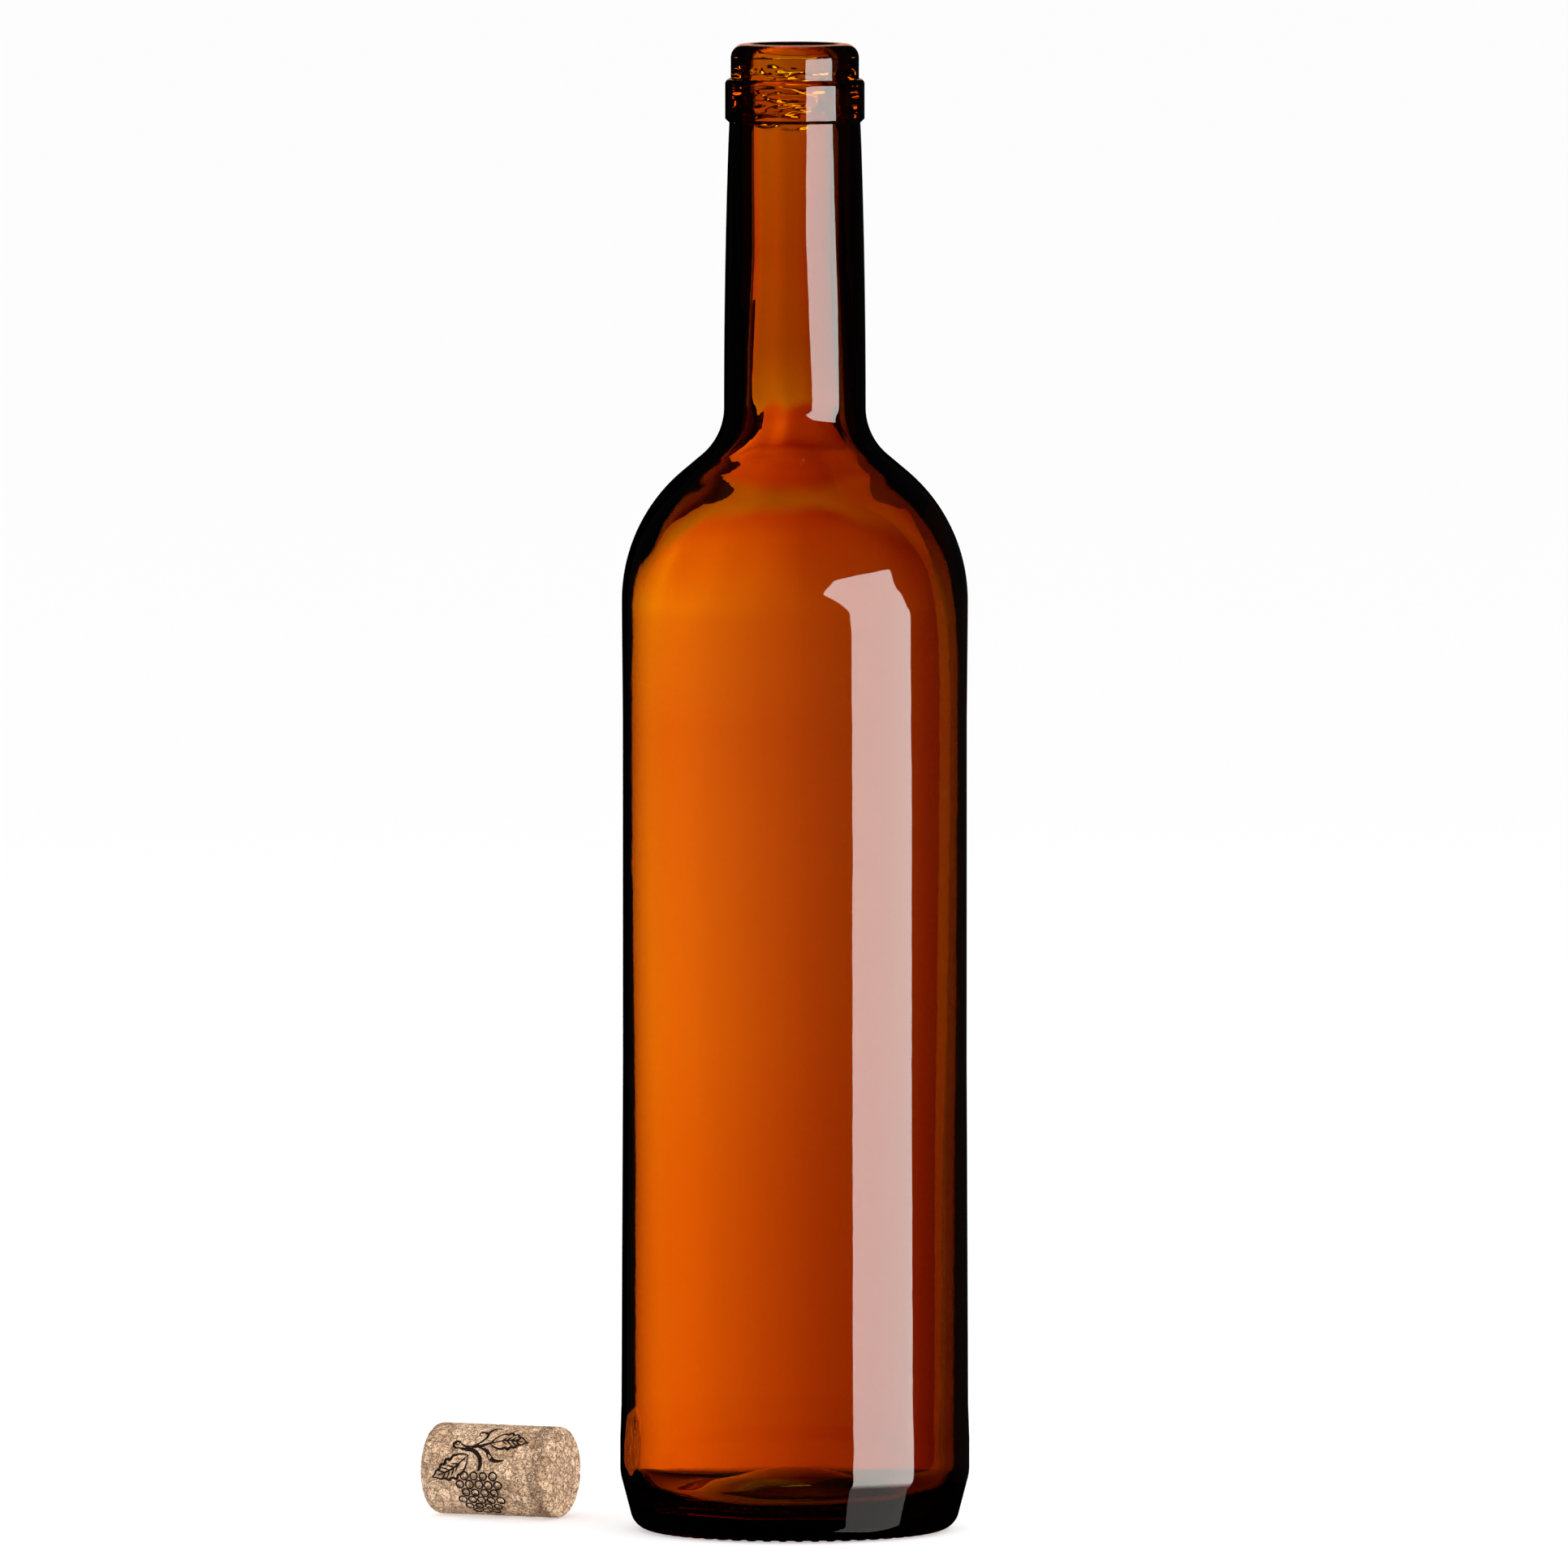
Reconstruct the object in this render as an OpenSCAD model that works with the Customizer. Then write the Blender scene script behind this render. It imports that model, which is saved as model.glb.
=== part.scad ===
// Amber glass wine bottle of the Bordeaux shape, standing open, with its cork lying beside it.
// The bottle stands on the plane z = 0 with its axis on Z; the viewer stands at -Y.

/* [Body] */
// Radius of the label panel, the middle stretch of the body
panel_r = 36.5; // [34:0.1:38]
// Radius of the contact band at the heel
heel_band_r = 37.15; // [36.9:0.05:38.5]
// Radius of the contact band under the shoulder
shoulder_band_r = 36.7; // [36.5:0.05:38]
// Height where the label panel begins
panel_bottom = 100; // [60:1:120]
// Height where the label panel ends
panel_top = 187; // [170:1:188]
// Inner radius of the body
body_bore_r = 33.9; // [33:0.1:34.2]

/* [Base] */
// Inner radius of the flat ring that the bottle stands on
bearing_in_r = 27; // [24:0.5:28]
// Outer radius of the flat ring that the bottle stands on
bearing_out_r = 30.5; // [30:0.1:31]
// Radius of the rounded corner outside the bearing ring
corner_r = 4.5; // [3.5:0.5:5]
// Radius of the rounding just inside the bearing ring
bearing_lip_r = 3; // [2:0.5:4]
// Height of the punt's hollow under the base
punt_h = 9.5; // [7:0.5:11]
// Height of the floor's dome inside the bottle
floor_top = 13.2; // [12:0.1:15]
// Lowest height of the glass floor inside the bottle
floor_low = 5.5; // [5:0.1:6]
// Radius of the inner corner between floor and wall
inner_corner_r = 9; // [7:0.5:10]
// Height of the lower edge of the heel's contact band
heel_band_bottom = 13.4; // [12:0.1:15]
// Height of the upper edge of the heel's contact band
heel_band_top = 19.4; // [18:0.1:22]
// Number of knurls round the bearing ring
knurl_count = 57; // [40:1:64]
// Width of the groove between two knurls
knurl_gap = 1.5; // [1:0.1:1.8]
// Height of a knurl
knurl_h = 0.45; // [0.2:0.05:0.5]
// Inner radius where the grooves begin
knurl_in_r = 28.8; // [28.5:0.1:29.5]

/* [Shoulder] */
// Height where the shoulder's curve begins
shoulder_bottom = 197.9; // [196:0.1:199]
// Radius of the shoulder's outward curve
shoulder_r = 36; // [34:0.5:37]
// Radius of the hollow curve where the shoulder meets the neck
throat_r = 13; // [11:0.5:14]
// Steepest lean of the shoulder, from upright
shoulder_lean = 50; // [48:1:52]
// Radius of the shoulder's curve inside
inner_shoulder_r = 33; // [31:0.5:34]
// Radius of the inner curve where the shoulder meets the neck
inner_throat_r = 16; // [14:0.5:17]

/* [Neck and finish] */
// Whole height of the bottle
bottle_h = 316.2; // [312:0.1:320]
// Radius of the neck at its foot
neck_foot_r = 15; // [14.5:0.1:15.5]
// Radius of the neck just under the ring
neck_top_r = 13.9; // [13.5:0.1:14]
// Radius of the cork bore
bore_r = 9.25; // [9:0.05:9.5]
// Length of the straight cork bore
bore_len = 45; // [35:1:48]
// Radius of the bore at the neck's foot
bore_foot_r = 10.6; // [10:0.1:11]
// Radius of the ring under the lip
ring_r = 14.8; // [14.5:0.1:15]
// Height of the underside of the ring
ring_bottom = 299.6; // [299:0.1:301]
// Height of the top of the ring
ring_top = 308.8; // [308:0.1:309.5]
// Radius of the lip
lip_r = 13.6; // [13.3:0.1:13.8]
// Rounding of the lip's outer edge
lip_round = 3; // [2:0.1:3.2]
// Rounding of the mouth's inner edge
mouth_round = 0.9; // [0.5:0.1:1]

/* [Cork] */
// Diameter of the cork
cork_d = 19.5; // [19:0.1:24]
// Length of the cork
cork_len = 31; // [28:0.5:44]
// Rounding of the cork's rims
cork_round = 1.6; // [0.8:0.1:2]
// Distance of the cork's middle to the left of the bottle's axis
cork_left = 62.9; // [60:0.1:90]
// Distance of the cork's middle behind the bottle's axis
cork_behind = 30; // [0:0.5:40]
// Turn of the cork's axis towards the viewer at its right end
cork_yaw = 23.6; // [0:0.1:40]

/* [Print] */
// Line width of the printed grape bunch
line_w = 0.32; // [0.25:0.01:0.4]
// Outer radius of one printed grape
grape_r = 1.02; // [0.9:0.01:1.05]
// Distance between neighbouring grapes
grape_pitch = 2.2; // [2.15:0.01:2.4]
// Thickness of the ink above the cork
ink_h = 0.04; // [0.03:0.01:0.08]
// How far the ink soaks into the cork
ink_depth = 0.06; // [0.04:0.01:0.1]

/* [Hidden] */
$fn = 96;
// Angle between neighbouring points of a curved outline
arc_step = 4;
// Grapes in each printed row, from the stalk down
grape_rows = [4, 5, 4, 5, 4, 3];
// Height of the first row of grapes, measured round the cork
bunch_top = -1.6;
// Turn of the print above the line that faces the viewer
print_turn = 5;
// Half the height of the blocks that cut the print out of the ink layer
stamp_depth = 0.6;
cork_r = cork_d / 2;
// Chamfer under the ring and rounding over it
ring_chamfer = 0.7;
ring_round = 1.2;
// Radius of the curve that runs from the corner up to the heel band
heel_round = 10;
// How much wider the body starts over the heel than it is at the label panel, and where it starts
body_start_step = 0.35;
body_start_rise = 7;
// Height over which the label panel runs out into the shoulder band
shoulder_band_rise = 6;
// Turn of the inner corner before the floor's dome takes over
inner_corner_turn = 85;
// Straight pieces in the neck's slow taper
taper_steps = 8;
// Points of a dome closer to the axis than this are left out
axis_gap = 0.4;
// How far cutting blocks reach past the glass
past = 1;
groove_len = corner_r + 2;
// Rise of the bore's foot over the neck's foot, which keeps the shoulder's wall about 2.8 thick
bore_foot_rise = 1.4;
// Lean of the rows of a closely packed bunch
row_lean = 60;
// Leaves: place along the cork, distance round it, turn, length, width
left_leaf = [-8, 0.6, 33, 9, 4.4];
right_leaf = [5.2, 6, 3, 8.6, 4.2];
// Line widths that a leaf's hollow is shorter than the leaf
leaf_tip = 5;
// Stalk and tendril: place along the cork, distance round it, radius, first and last angle
stalk = [-4.4, 0.6, 4, 15, 115];
tendril = [-1.6, 9, 1.6, -80, 150];
neck_bottom = shoulder_bottom
    + (shoulder_r + throat_r) * sin(shoulder_lean)
    + lean_run(shoulder_band_r - neck_foot_r, shoulder_r + throat_r) * cos(shoulder_lean);
bore_foot = neck_bottom + bore_foot_rise;
inner_shoulder_bottom = bore_foot
    - (inner_shoulder_r + inner_throat_r) * sin(shoulder_lean)
    - lean_run(body_bore_r - bore_foot_r, inner_shoulder_r + inner_throat_r) * cos(shoulder_lean);

// Length of the straight stretch between two curves that cross a given width
function lean_run(width, radii) = (width - radii * (1 - cos(shoulder_lean))) / sin(shoulder_lean);

// Points of an arc about [cx, cz], from angle a0 to angle a1
function arc(cx, cz, r, a0, a1) =
    let (steps = max(1, ceil(abs(a1 - a0) / arc_step)))
    [for (i = [0:steps]) let (a = a0 + (a1 - a0) * i / steps) [cx + r * cos(a), cz + r * sin(a)]];

// Radius of the dome that rises by rise at the axis and runs smoothly into a trough of radius round
function dome_r(trough_at, round, rise) = (pow(trough_at, 2) + pow(rise, 2) - 2 * round * rise) / (2 * rise);

// Angle at the dome's centre where the dome meets the trough
function dome_edge(trough_at, round, rise) =
    atan2(round - rise + dome_r(trough_at, round, rise), trough_at);

// A dome from the axis out to the bottom of its trough, whose lowest height is low
function dome(trough_at, round, rise, low) =
    let (r = dome_r(trough_at, round, rise), edge = dome_edge(trough_at, round, rise))
    concat(
        [[0, low + rise]],
        [for (p = arc(0, low + rise - r, r, 90, edge)) if (p[0] > axis_gap) p],
        [for (p = arc(trough_at, low + round, round, edge + 180, 270)) if (p[0] > 0) p]
    );

// Lean of the straight line that touches both the corner's curve and the heel band's curve
function tuck() =
    let (dr = bearing_out_r - heel_band_r + heel_round, dz = heel_band_bottom - corner_r)
    atan2(dz, dr) - acos((heel_round - corner_r) / norm([dr, dz]));

// Outside of the base: punt, bearing ring, corner and heel band
function base_outside() = concat(
    dome(bearing_in_r, bearing_lip_r, punt_h, 0),
    arc(bearing_out_r, corner_r, corner_r, -90, -tuck()),
    arc(heel_band_r - heel_round, heel_band_bottom, heel_round, -tuck(), 0)
);

// Outside of the body and the shoulder
function body_outside() = concat(
    [[heel_band_r, heel_band_top], [panel_r + body_start_step, heel_band_top + body_start_rise]],
    [[panel_r, panel_bottom], [panel_r, panel_top]],
    [[shoulder_band_r, panel_top + shoulder_band_rise]],
    arc(shoulder_band_r - shoulder_r, shoulder_bottom, shoulder_r, 0, shoulder_lean)
);

// Outside of the neck: a hollow curve at the foot, then a slow taper up to the ring
function neck_outside() = concat(
    arc(neck_foot_r + throat_r, neck_bottom, throat_r, 180 + shoulder_lean, 180),
    [for (i = [1:taper_steps]) let (t = i / taper_steps)
        [neck_foot_r + (neck_top_r - neck_foot_r) * t * t, neck_bottom + (ring_bottom - neck_bottom) * t]]
);

// Outside of the finish: ring and lip
function finish_outside() = concat(
    [[ring_r - ring_chamfer, ring_bottom], [ring_r, ring_bottom + ring_chamfer]],
    arc(ring_r - ring_round, ring_top - ring_round, ring_round, 0, 90),
    arc(lip_r - lip_round, bottle_h - lip_round, lip_round, 0, 90)
);

// Inside of the mouth, the bore and the neck
function neck_inside() = concat(
    arc(bore_r + mouth_round, bottle_h - mouth_round, mouth_round, 90, 180),
    [[bore_r, bottle_h - mouth_round - bore_len]],
    arc(bore_foot_r + inner_throat_r, bore_foot, inner_throat_r, 180, 180 + shoulder_lean)
);

// Inside of the shoulder and the body, down to the inner corner
function body_inside() = concat(
    arc(body_bore_r - inner_shoulder_r, inner_shoulder_bottom, inner_shoulder_r, shoulder_lean, 0),
    arc(body_bore_r - inner_corner_r, floor_low + inner_corner_r, inner_corner_r, 0, -inner_corner_turn)
);

// The floor's dome, from the inner corner to the axis
function floor_inside() =
    let (out = dome(body_bore_r - inner_corner_r, inner_corner_r, floor_top - floor_low, floor_low))
    [for (i = [len(out) - 1:-1:0]) out[i]];

// Grooves that leave the knurls standing round the bearing ring
module knurl_grooves() {
    for (i = [0:knurl_count - 1])
        rotate(i * 360 / knurl_count)
            translate([knurl_in_r, -knurl_gap / 2, -past])
                cube([groove_len, knurl_gap, past + knurl_h]);
}

// One blown wall of glass from the punt to the lip
module bottle() {
    color([0.55, 0.22, 0.03, 0.75])
        difference() {
            rotate_extrude()
                polygon(concat(
                    base_outside(),
                    body_outside(),
                    neck_outside(),
                    finish_outside(),
                    neck_inside(),
                    body_inside(),
                    floor_inside()
                ));
            knurl_grooves();
        }
}

// Puts children, built round Z, where the cork lies on the table
module lying() {
    translate([-cork_left, cork_behind, cork_r])
        rotate([0, 90, -cork_yaw])
            children();
}

// The agglomerated cork, a straight cylinder with rounded rims
module cork() {
    color([0.78, 0.62, 0.44])
        lying()
            rotate_extrude()
                polygon(concat(
                    [[0, -cork_len / 2]],
                    arc(cork_r - cork_round, cork_round - cork_len / 2, cork_round, -90, 0),
                    arc(cork_r - cork_round, cork_len / 2 - cork_round, cork_round, 0, 90),
                    [[0, cork_len / 2]]
                ));
}

// A flat shape as a stamp on the cork's side: right is its place along the cork,
// up is its distance round the cork above the line that faces the viewer
module stamp(right, up) {
    rotate(-90 - print_turn - up / cork_r * 180 / PI)
        translate([cork_r - stamp_depth, 0, right])
            rotate([90, 0, 90])
                linear_extrude(2 * stamp_depth)
                    rotate(90)
                        children();
}

// The outline of one grape
module grape_outline() {
    difference() {
        circle(grape_r);
        circle(grape_r - line_w);
    }
}

// The grapes, row under row
module bunch() {
    for (row = [0:len(grape_rows) - 1])
        for (i = [0:grape_rows[row] - 1])
            stamp((i - (grape_rows[row] - 1) / 2) * grape_pitch, bunch_top - row * grape_pitch * sin(row_lean))
                grape_outline();
}

// A pointed oval of two arcs, l long and w wide
module pointed_oval(l, w) {
    arc_r = (l * l + w * w) / (4 * w);
    intersection() {
        translate([0, arc_r - w / 2]) circle(arc_r);
        translate([0, w / 2 - arc_r]) circle(arc_r);
    }
}

// A leaf drawn as an outline, l long and w wide
module leaf_outline(l, w) {
    difference() {
        pointed_oval(l, w);
        pointed_oval(l - leaf_tip * line_w, w - 2 * line_w);
    }
}

// A bent line: part of a ring of radius r between angles a0 and a1
module bent_line(r, a0, a1) {
    polygon(concat(arc(0, 0, r, a0, a1), arc(0, 0, r - line_w, a1, a0)));
}

// The printed grape bunch with its stalk, two leaves and a tendril, one thin layer of ink
module cork_print() {
    color([0.2, 0.1, 0.08])
        lying()
            intersection() {
                difference() {
                    cylinder(r = cork_r + ink_h, h = cork_len - 2 * cork_round, center = true);
                    cylinder(r = cork_r - ink_depth, h = cork_len, center = true);
                }
                union() {
                    bunch();
                    for (leaf = [left_leaf, right_leaf])
                        stamp(leaf[0], leaf[1]) rotate(leaf[2]) leaf_outline(leaf[3], leaf[4]);
                    for (bend = [stalk, tendril])
                        stamp(bend[0], bend[1]) bent_line(bend[2], bend[3], bend[4]);
                }
            }
}

bottle();
cork();
cork_print();
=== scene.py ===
"""An amber glass wine bottle, open and empty, with its printed cork lying beside it.

The bottle is one blown wall of glass, turned about the Z axis. The cork is a block of glued granules with
an ink print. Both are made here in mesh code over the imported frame, and dressed with procedural materials.
"""

import logging
import math
from dataclasses import dataclass, field
from enum import Enum
from typing import Callable

import bpy
from mathutils import Matrix, Vector, noise


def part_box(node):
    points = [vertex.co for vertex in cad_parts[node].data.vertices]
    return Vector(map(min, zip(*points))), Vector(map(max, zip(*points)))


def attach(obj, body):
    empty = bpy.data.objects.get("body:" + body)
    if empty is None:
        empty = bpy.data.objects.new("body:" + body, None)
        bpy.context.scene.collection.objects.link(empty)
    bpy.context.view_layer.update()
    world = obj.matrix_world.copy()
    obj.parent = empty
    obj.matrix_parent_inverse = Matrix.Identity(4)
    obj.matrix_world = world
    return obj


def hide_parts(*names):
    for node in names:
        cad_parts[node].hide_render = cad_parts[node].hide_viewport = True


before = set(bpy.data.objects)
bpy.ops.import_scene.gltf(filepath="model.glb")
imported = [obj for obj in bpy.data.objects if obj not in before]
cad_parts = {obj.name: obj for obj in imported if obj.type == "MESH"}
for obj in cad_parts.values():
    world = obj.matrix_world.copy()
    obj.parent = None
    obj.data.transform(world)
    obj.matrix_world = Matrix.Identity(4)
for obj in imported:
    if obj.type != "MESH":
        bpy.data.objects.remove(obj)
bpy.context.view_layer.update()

LOG = logging.getLogger("bottle")
MM = 0.001
Point = tuple[float, float]
Face = tuple[int, ...]
Colour = tuple[float, float, float, float]
Glow = tuple[float, float, float, float]
Zone = tuple[float, float, float, float]
Socket = bpy.types.NodeSocket


class Side(Enum):
    """Which side of the glass wall a ring of the lathe belongs to."""

    OUTSIDE = "outside"
    INSIDE = "inside"


class Ray(Enum):
    """The kinds of ray that the studio answers differently, as sockets of the Light Path node."""

    CAMERA = "Is Camera Ray"
    DIFFUSE = "Is Diffuse Ray"
    GLOSSY = "Is Glossy Ray"
    TRANSMISSION = "Is Transmission Ray"


# ---------------------------------------------------------------------------------------------------------
# Outlines and meshes
# ---------------------------------------------------------------------------------------------------------


def arc(cx: float, cz: float, r: float, a0: float, a1: float, step: float = 2.0) -> list[Point]:
    """Points of an arc.

    Args:
        cx: Distance of the centre from the axis.
        cz: Height of the centre.
        r: Radius of the arc.
        a0: First angle, in degrees.
        a1: Last angle, in degrees.
        step: Longest turn between two points, in degrees.

    Returns:
        The points from the first angle to the last, as (distance from the axis, height).
    """
    count = max(1, math.ceil(abs(a1 - a0) / step))
    angles = [math.radians(a0 + (a1 - a0) * i / count) for i in range(count + 1)]
    return [(cx + r * math.cos(a), cz + r * math.sin(a)) for a in angles]


def filled_in(points: list[Point], longest: float) -> list[Point]:
    """The same outline, with points added so that no step is longer than the longest."""
    out = [points[0]]
    for a, b in zip(points, points[1:]):
        count = max(1, math.ceil(math.dist(a, b) / longest))
        shares = [i / count for i in range(1, count + 1)]
        out += [(a[0] + (b[0] - a[0]) * t, a[1] + (b[1] - a[1]) * t) for t in shares]
    return out


def smooth_step(low: float, high: float, x: float) -> float:
    """A soft step that is 0 below low and 1 above high."""
    t = min(max((x - low) / (high - low), 0.0), 1.0)
    return t * t * (3 - 2 * t)


def between(zone: Zone, x: float) -> float:
    """A soft hill that rises between the first two places of a zone and falls between the last two."""
    return smooth_step(zone[0], zone[1], x) * (1 - smooth_step(zone[2], zone[3], x))


def new_mesh_object(name: str, points: list[Vector], faces: list[Face], sharp: float) -> bpy.types.Object:
    """Makes a smooth-shaded mesh object.

    Args:
        name: Name of the object.
        points: Places of the vertices.
        faces: Vertex numbers of each face.
        sharp: Angle in degrees above which an edge stays crisp.

    Returns:
        The object, linked to the scene.
    """
    mesh = bpy.data.meshes.new(name)
    mesh.from_pydata([tuple(p) for p in points], [], faces)
    mesh.validate()
    mesh.polygons.foreach_set("use_smooth", [True] * len(mesh.polygons))
    mesh.set_sharp_from_angle(angle=math.radians(sharp))
    obj = bpy.data.objects.new(name, mesh)
    bpy.context.scene.collection.objects.link(obj)
    return obj


def lathe(rings: list[list[Vector]], first: Vector, last: Vector) -> tuple[list[Vector], list[Face]]:
    """Joins rings of points into a closed skin.

    Args:
        rings: Rings of equally many points, in order along the outline.
        first: The point on the axis that closes the first ring.
        last: The point on the axis that closes the last ring.

    Returns:
        The points and the faces.
    """
    n = len(rings[0])
    points = [first] + [p for ring in rings for p in ring] + [last]
    end = len(points) - 1
    faces: list[Face] = [(0, 1 + (i + 1) % n, 1 + i) for i in range(n)]
    for k in range(len(rings) - 1):
        a, b = 1 + k * n, 1 + (k + 1) * n
        faces += [(a + i, a + (i + 1) % n, b + (i + 1) % n, b + i) for i in range(n)]
    top = 1 + (len(rings) - 1) * n
    faces += [(top + i, top + (i + 1) % n, end) for i in range(n)]
    return points, faces


# ---------------------------------------------------------------------------------------------------------
# Node helpers
# ---------------------------------------------------------------------------------------------------------


@dataclass
class Graph:
    """A node tree with short ways to add and join nodes. A value is a socket, a number or a colour."""

    tree: bpy.types.NodeTree

    def add(self, kind: str, **values: object) -> bpy.types.Node:
        """Adds a node of one of Blender's types, with its properties set by name."""
        node = self.tree.nodes.new(kind)
        for name, value in values.items():
            setattr(node, name, value)
        return node

    def join(self, source: Socket, target: Socket) -> None:
        """Links an output to an input."""
        self.tree.links.new(source, target)

    def feed(self, socket: Socket, value: object) -> None:
        """Sets a socket to a value, or links another socket to it."""
        if isinstance(value, Socket):
            self.join(value, socket)
        else:
            socket.default_value = value

    def place(self) -> Socket:
        """Places in the object's own axes, in metres."""
        return self.add("ShaderNodeTexCoord").outputs["Object"]

    def axes(self, place: Socket) -> bpy.types.Node:
        """Adds a node that splits places or directions into X, Y and Z."""
        node = self.add("ShaderNodeSeparateXYZ")
        self.join(place, node.inputs[0])
        return node

    def math(self, operation: str, a: object, b: object = 0.0, clamp: bool = False) -> Socket:
        """Adds a Math node, whose result may be kept within 0 and 1."""
        node = self.add("ShaderNodeMath", operation=operation, use_clamp=clamp)
        self.feed(node.inputs[0], a)
        self.feed(node.inputs[1], b)
        return node.outputs[0]

    def noise(
        self, place: Socket, scale: object, detail: float = 2.0, roughness: float = 0.5, twist: float = 0.0
    ) -> bpy.types.Node:
        """Adds a Noise Texture at a place."""
        node = self.add("ShaderNodeTexNoise")
        names = ("Vector", "Scale", "Detail", "Roughness", "Distortion")
        for name, value in zip(names, (place, scale, detail, roughness, twist)):
            self.feed(node.inputs[name], value)
        return node

    def band(self, value: Socket, low: float, high: float) -> Socket:
        """Where a value lies between two others, as 0 to 1."""
        node = self.add("ShaderNodeMapRange", clamp=True)
        node.inputs["From Min"].default_value = low
        node.inputs["From Max"].default_value = high
        self.join(value, node.inputs["Value"])
        return node.outputs[0]

    def bump(self, height: Socket, strength: float, distance: float) -> Socket:
        """The normal of a surface raised by a height, with its distance in metres."""
        node = self.add("ShaderNodeBump")
        node.inputs["Strength"].default_value = strength
        node.inputs["Distance"].default_value = distance
        self.join(height, node.inputs["Height"])
        return node.outputs["Normal"]

    def ramp(self, source: Socket, stops: list[tuple[float, Colour]], smooth: bool = False) -> Socket:
        """Adds a colour ramp.

        Args:
            source: What drives the ramp.
            stops: Places and colours.
            smooth: Whether colours ease into each other.

        Returns:
            The ramp's colour.
        """
        node = self.add("ShaderNodeValToRGB")
        node.color_ramp.interpolation = "EASE" if smooth else "LINEAR"
        elements = node.color_ramp.elements
        while len(elements) < len(stops):
            elements.new(0.5)
        for element, (place, colour) in zip(elements, stops):
            element.position = place
            element.color = colour
        self.join(source, node.inputs[0])
        return node.outputs[0]

    def mix(self, factor: object, a: object, b: object, blend: str = "MIX") -> Socket:
        """Mixes two colours in one of Blender's ways: the first at 0, the second at 1."""
        node = self.add("ShaderNodeMix", data_type="RGBA", blend_type=blend)
        for number, value in ((0, factor), (6, a), (7, b)):
            self.feed(node.inputs[number], value)
        return node.outputs[2]


def grey(value: float) -> Colour:
    """A neutral colour."""
    return (value, value, value, 1.0)


def new_group(
    name: str, inputs: dict[str, tuple[str, object]], outputs: list[str]
) -> tuple[Graph, dict, dict]:
    """Starts a shader node group.

    Args:
        name: Name of the group.
        inputs: Socket names with their type and usual value.
        outputs: Names of the values that it gives.

    Returns:
        The group's graph, its inner input sockets and its inner output sockets, by name.
    """
    tree = bpy.data.node_groups.new(name, "ShaderNodeTree")
    for label, (kind, usual) in inputs.items():
        socket = tree.interface.new_socket(label, in_out="INPUT", socket_type=kind)
        if usual is not None:
            socket.default_value = usual
    for label in outputs:
        tree.interface.new_socket(label, in_out="OUTPUT", socket_type="NodeSocketFloat")
    graph = Graph(tree)
    start, end = graph.add("NodeGroupInput"), graph.add("NodeGroupOutput")
    return graph, {k: start.outputs[k] for k in inputs}, {k: end.inputs[k] for k in outputs}


def place_group(graph: Graph, tree: bpy.types.NodeTree, **values: object) -> bpy.types.Node:
    """Places a node group in a material, with its inputs set by name."""
    node = graph.add("ShaderNodeGroup", node_tree=tree)
    for name, value in values.items():
        graph.feed(node.inputs[name], value)
    return node


def new_material(name: str) -> tuple[bpy.types.Material, Graph, bpy.types.Node, bpy.types.Node]:
    """Starts a material, and gives its graph, its Principled node and its output node too."""
    material = bpy.data.materials.new(name)
    material.use_nodes = True
    graph = Graph(material.node_tree)
    principled = next(n for n in material.node_tree.nodes if n.type == "BSDF_PRINCIPLED")
    output = next(n for n in material.node_tree.nodes if n.type == "OUTPUT_MATERIAL")
    return material, graph, principled, output


@dataclass(frozen=True)
class UnevenPolish:
    """The effect that both glass and ink use for uneven polish."""

    scale: float = 40.0
    roughest: float = 0.1
    detail: float = 5.0
    low: float = 0.42
    high: float = 0.68

    def build(self) -> bpy.types.NodeTree:
        """Builds the group: Vector, Scale, Low and High go in; Roughness and Height come out."""
        inputs = {
            "Vector": ("NodeSocketVector", None),
            "Scale": ("NodeSocketFloat", self.scale),
            "Low": ("NodeSocketFloat", 0.0),
            "High": ("NodeSocketFloat", self.roughest),
        }
        graph, ins, outs = new_group("uneven_polish", inputs, ["Roughness", "Height"])
        cloud = graph.noise(ins["Vector"], ins["Scale"], self.detail).outputs["Fac"]
        rough = graph.band(cloud, self.low, self.high)
        graph.join(ins["Low"], rough.node.inputs["To Min"])
        graph.join(ins["High"], rough.node.inputs["To Max"])
        graph.join(rough, outs["Roughness"])
        graph.join(cloud, outs["Height"])
        return graph.tree


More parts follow.
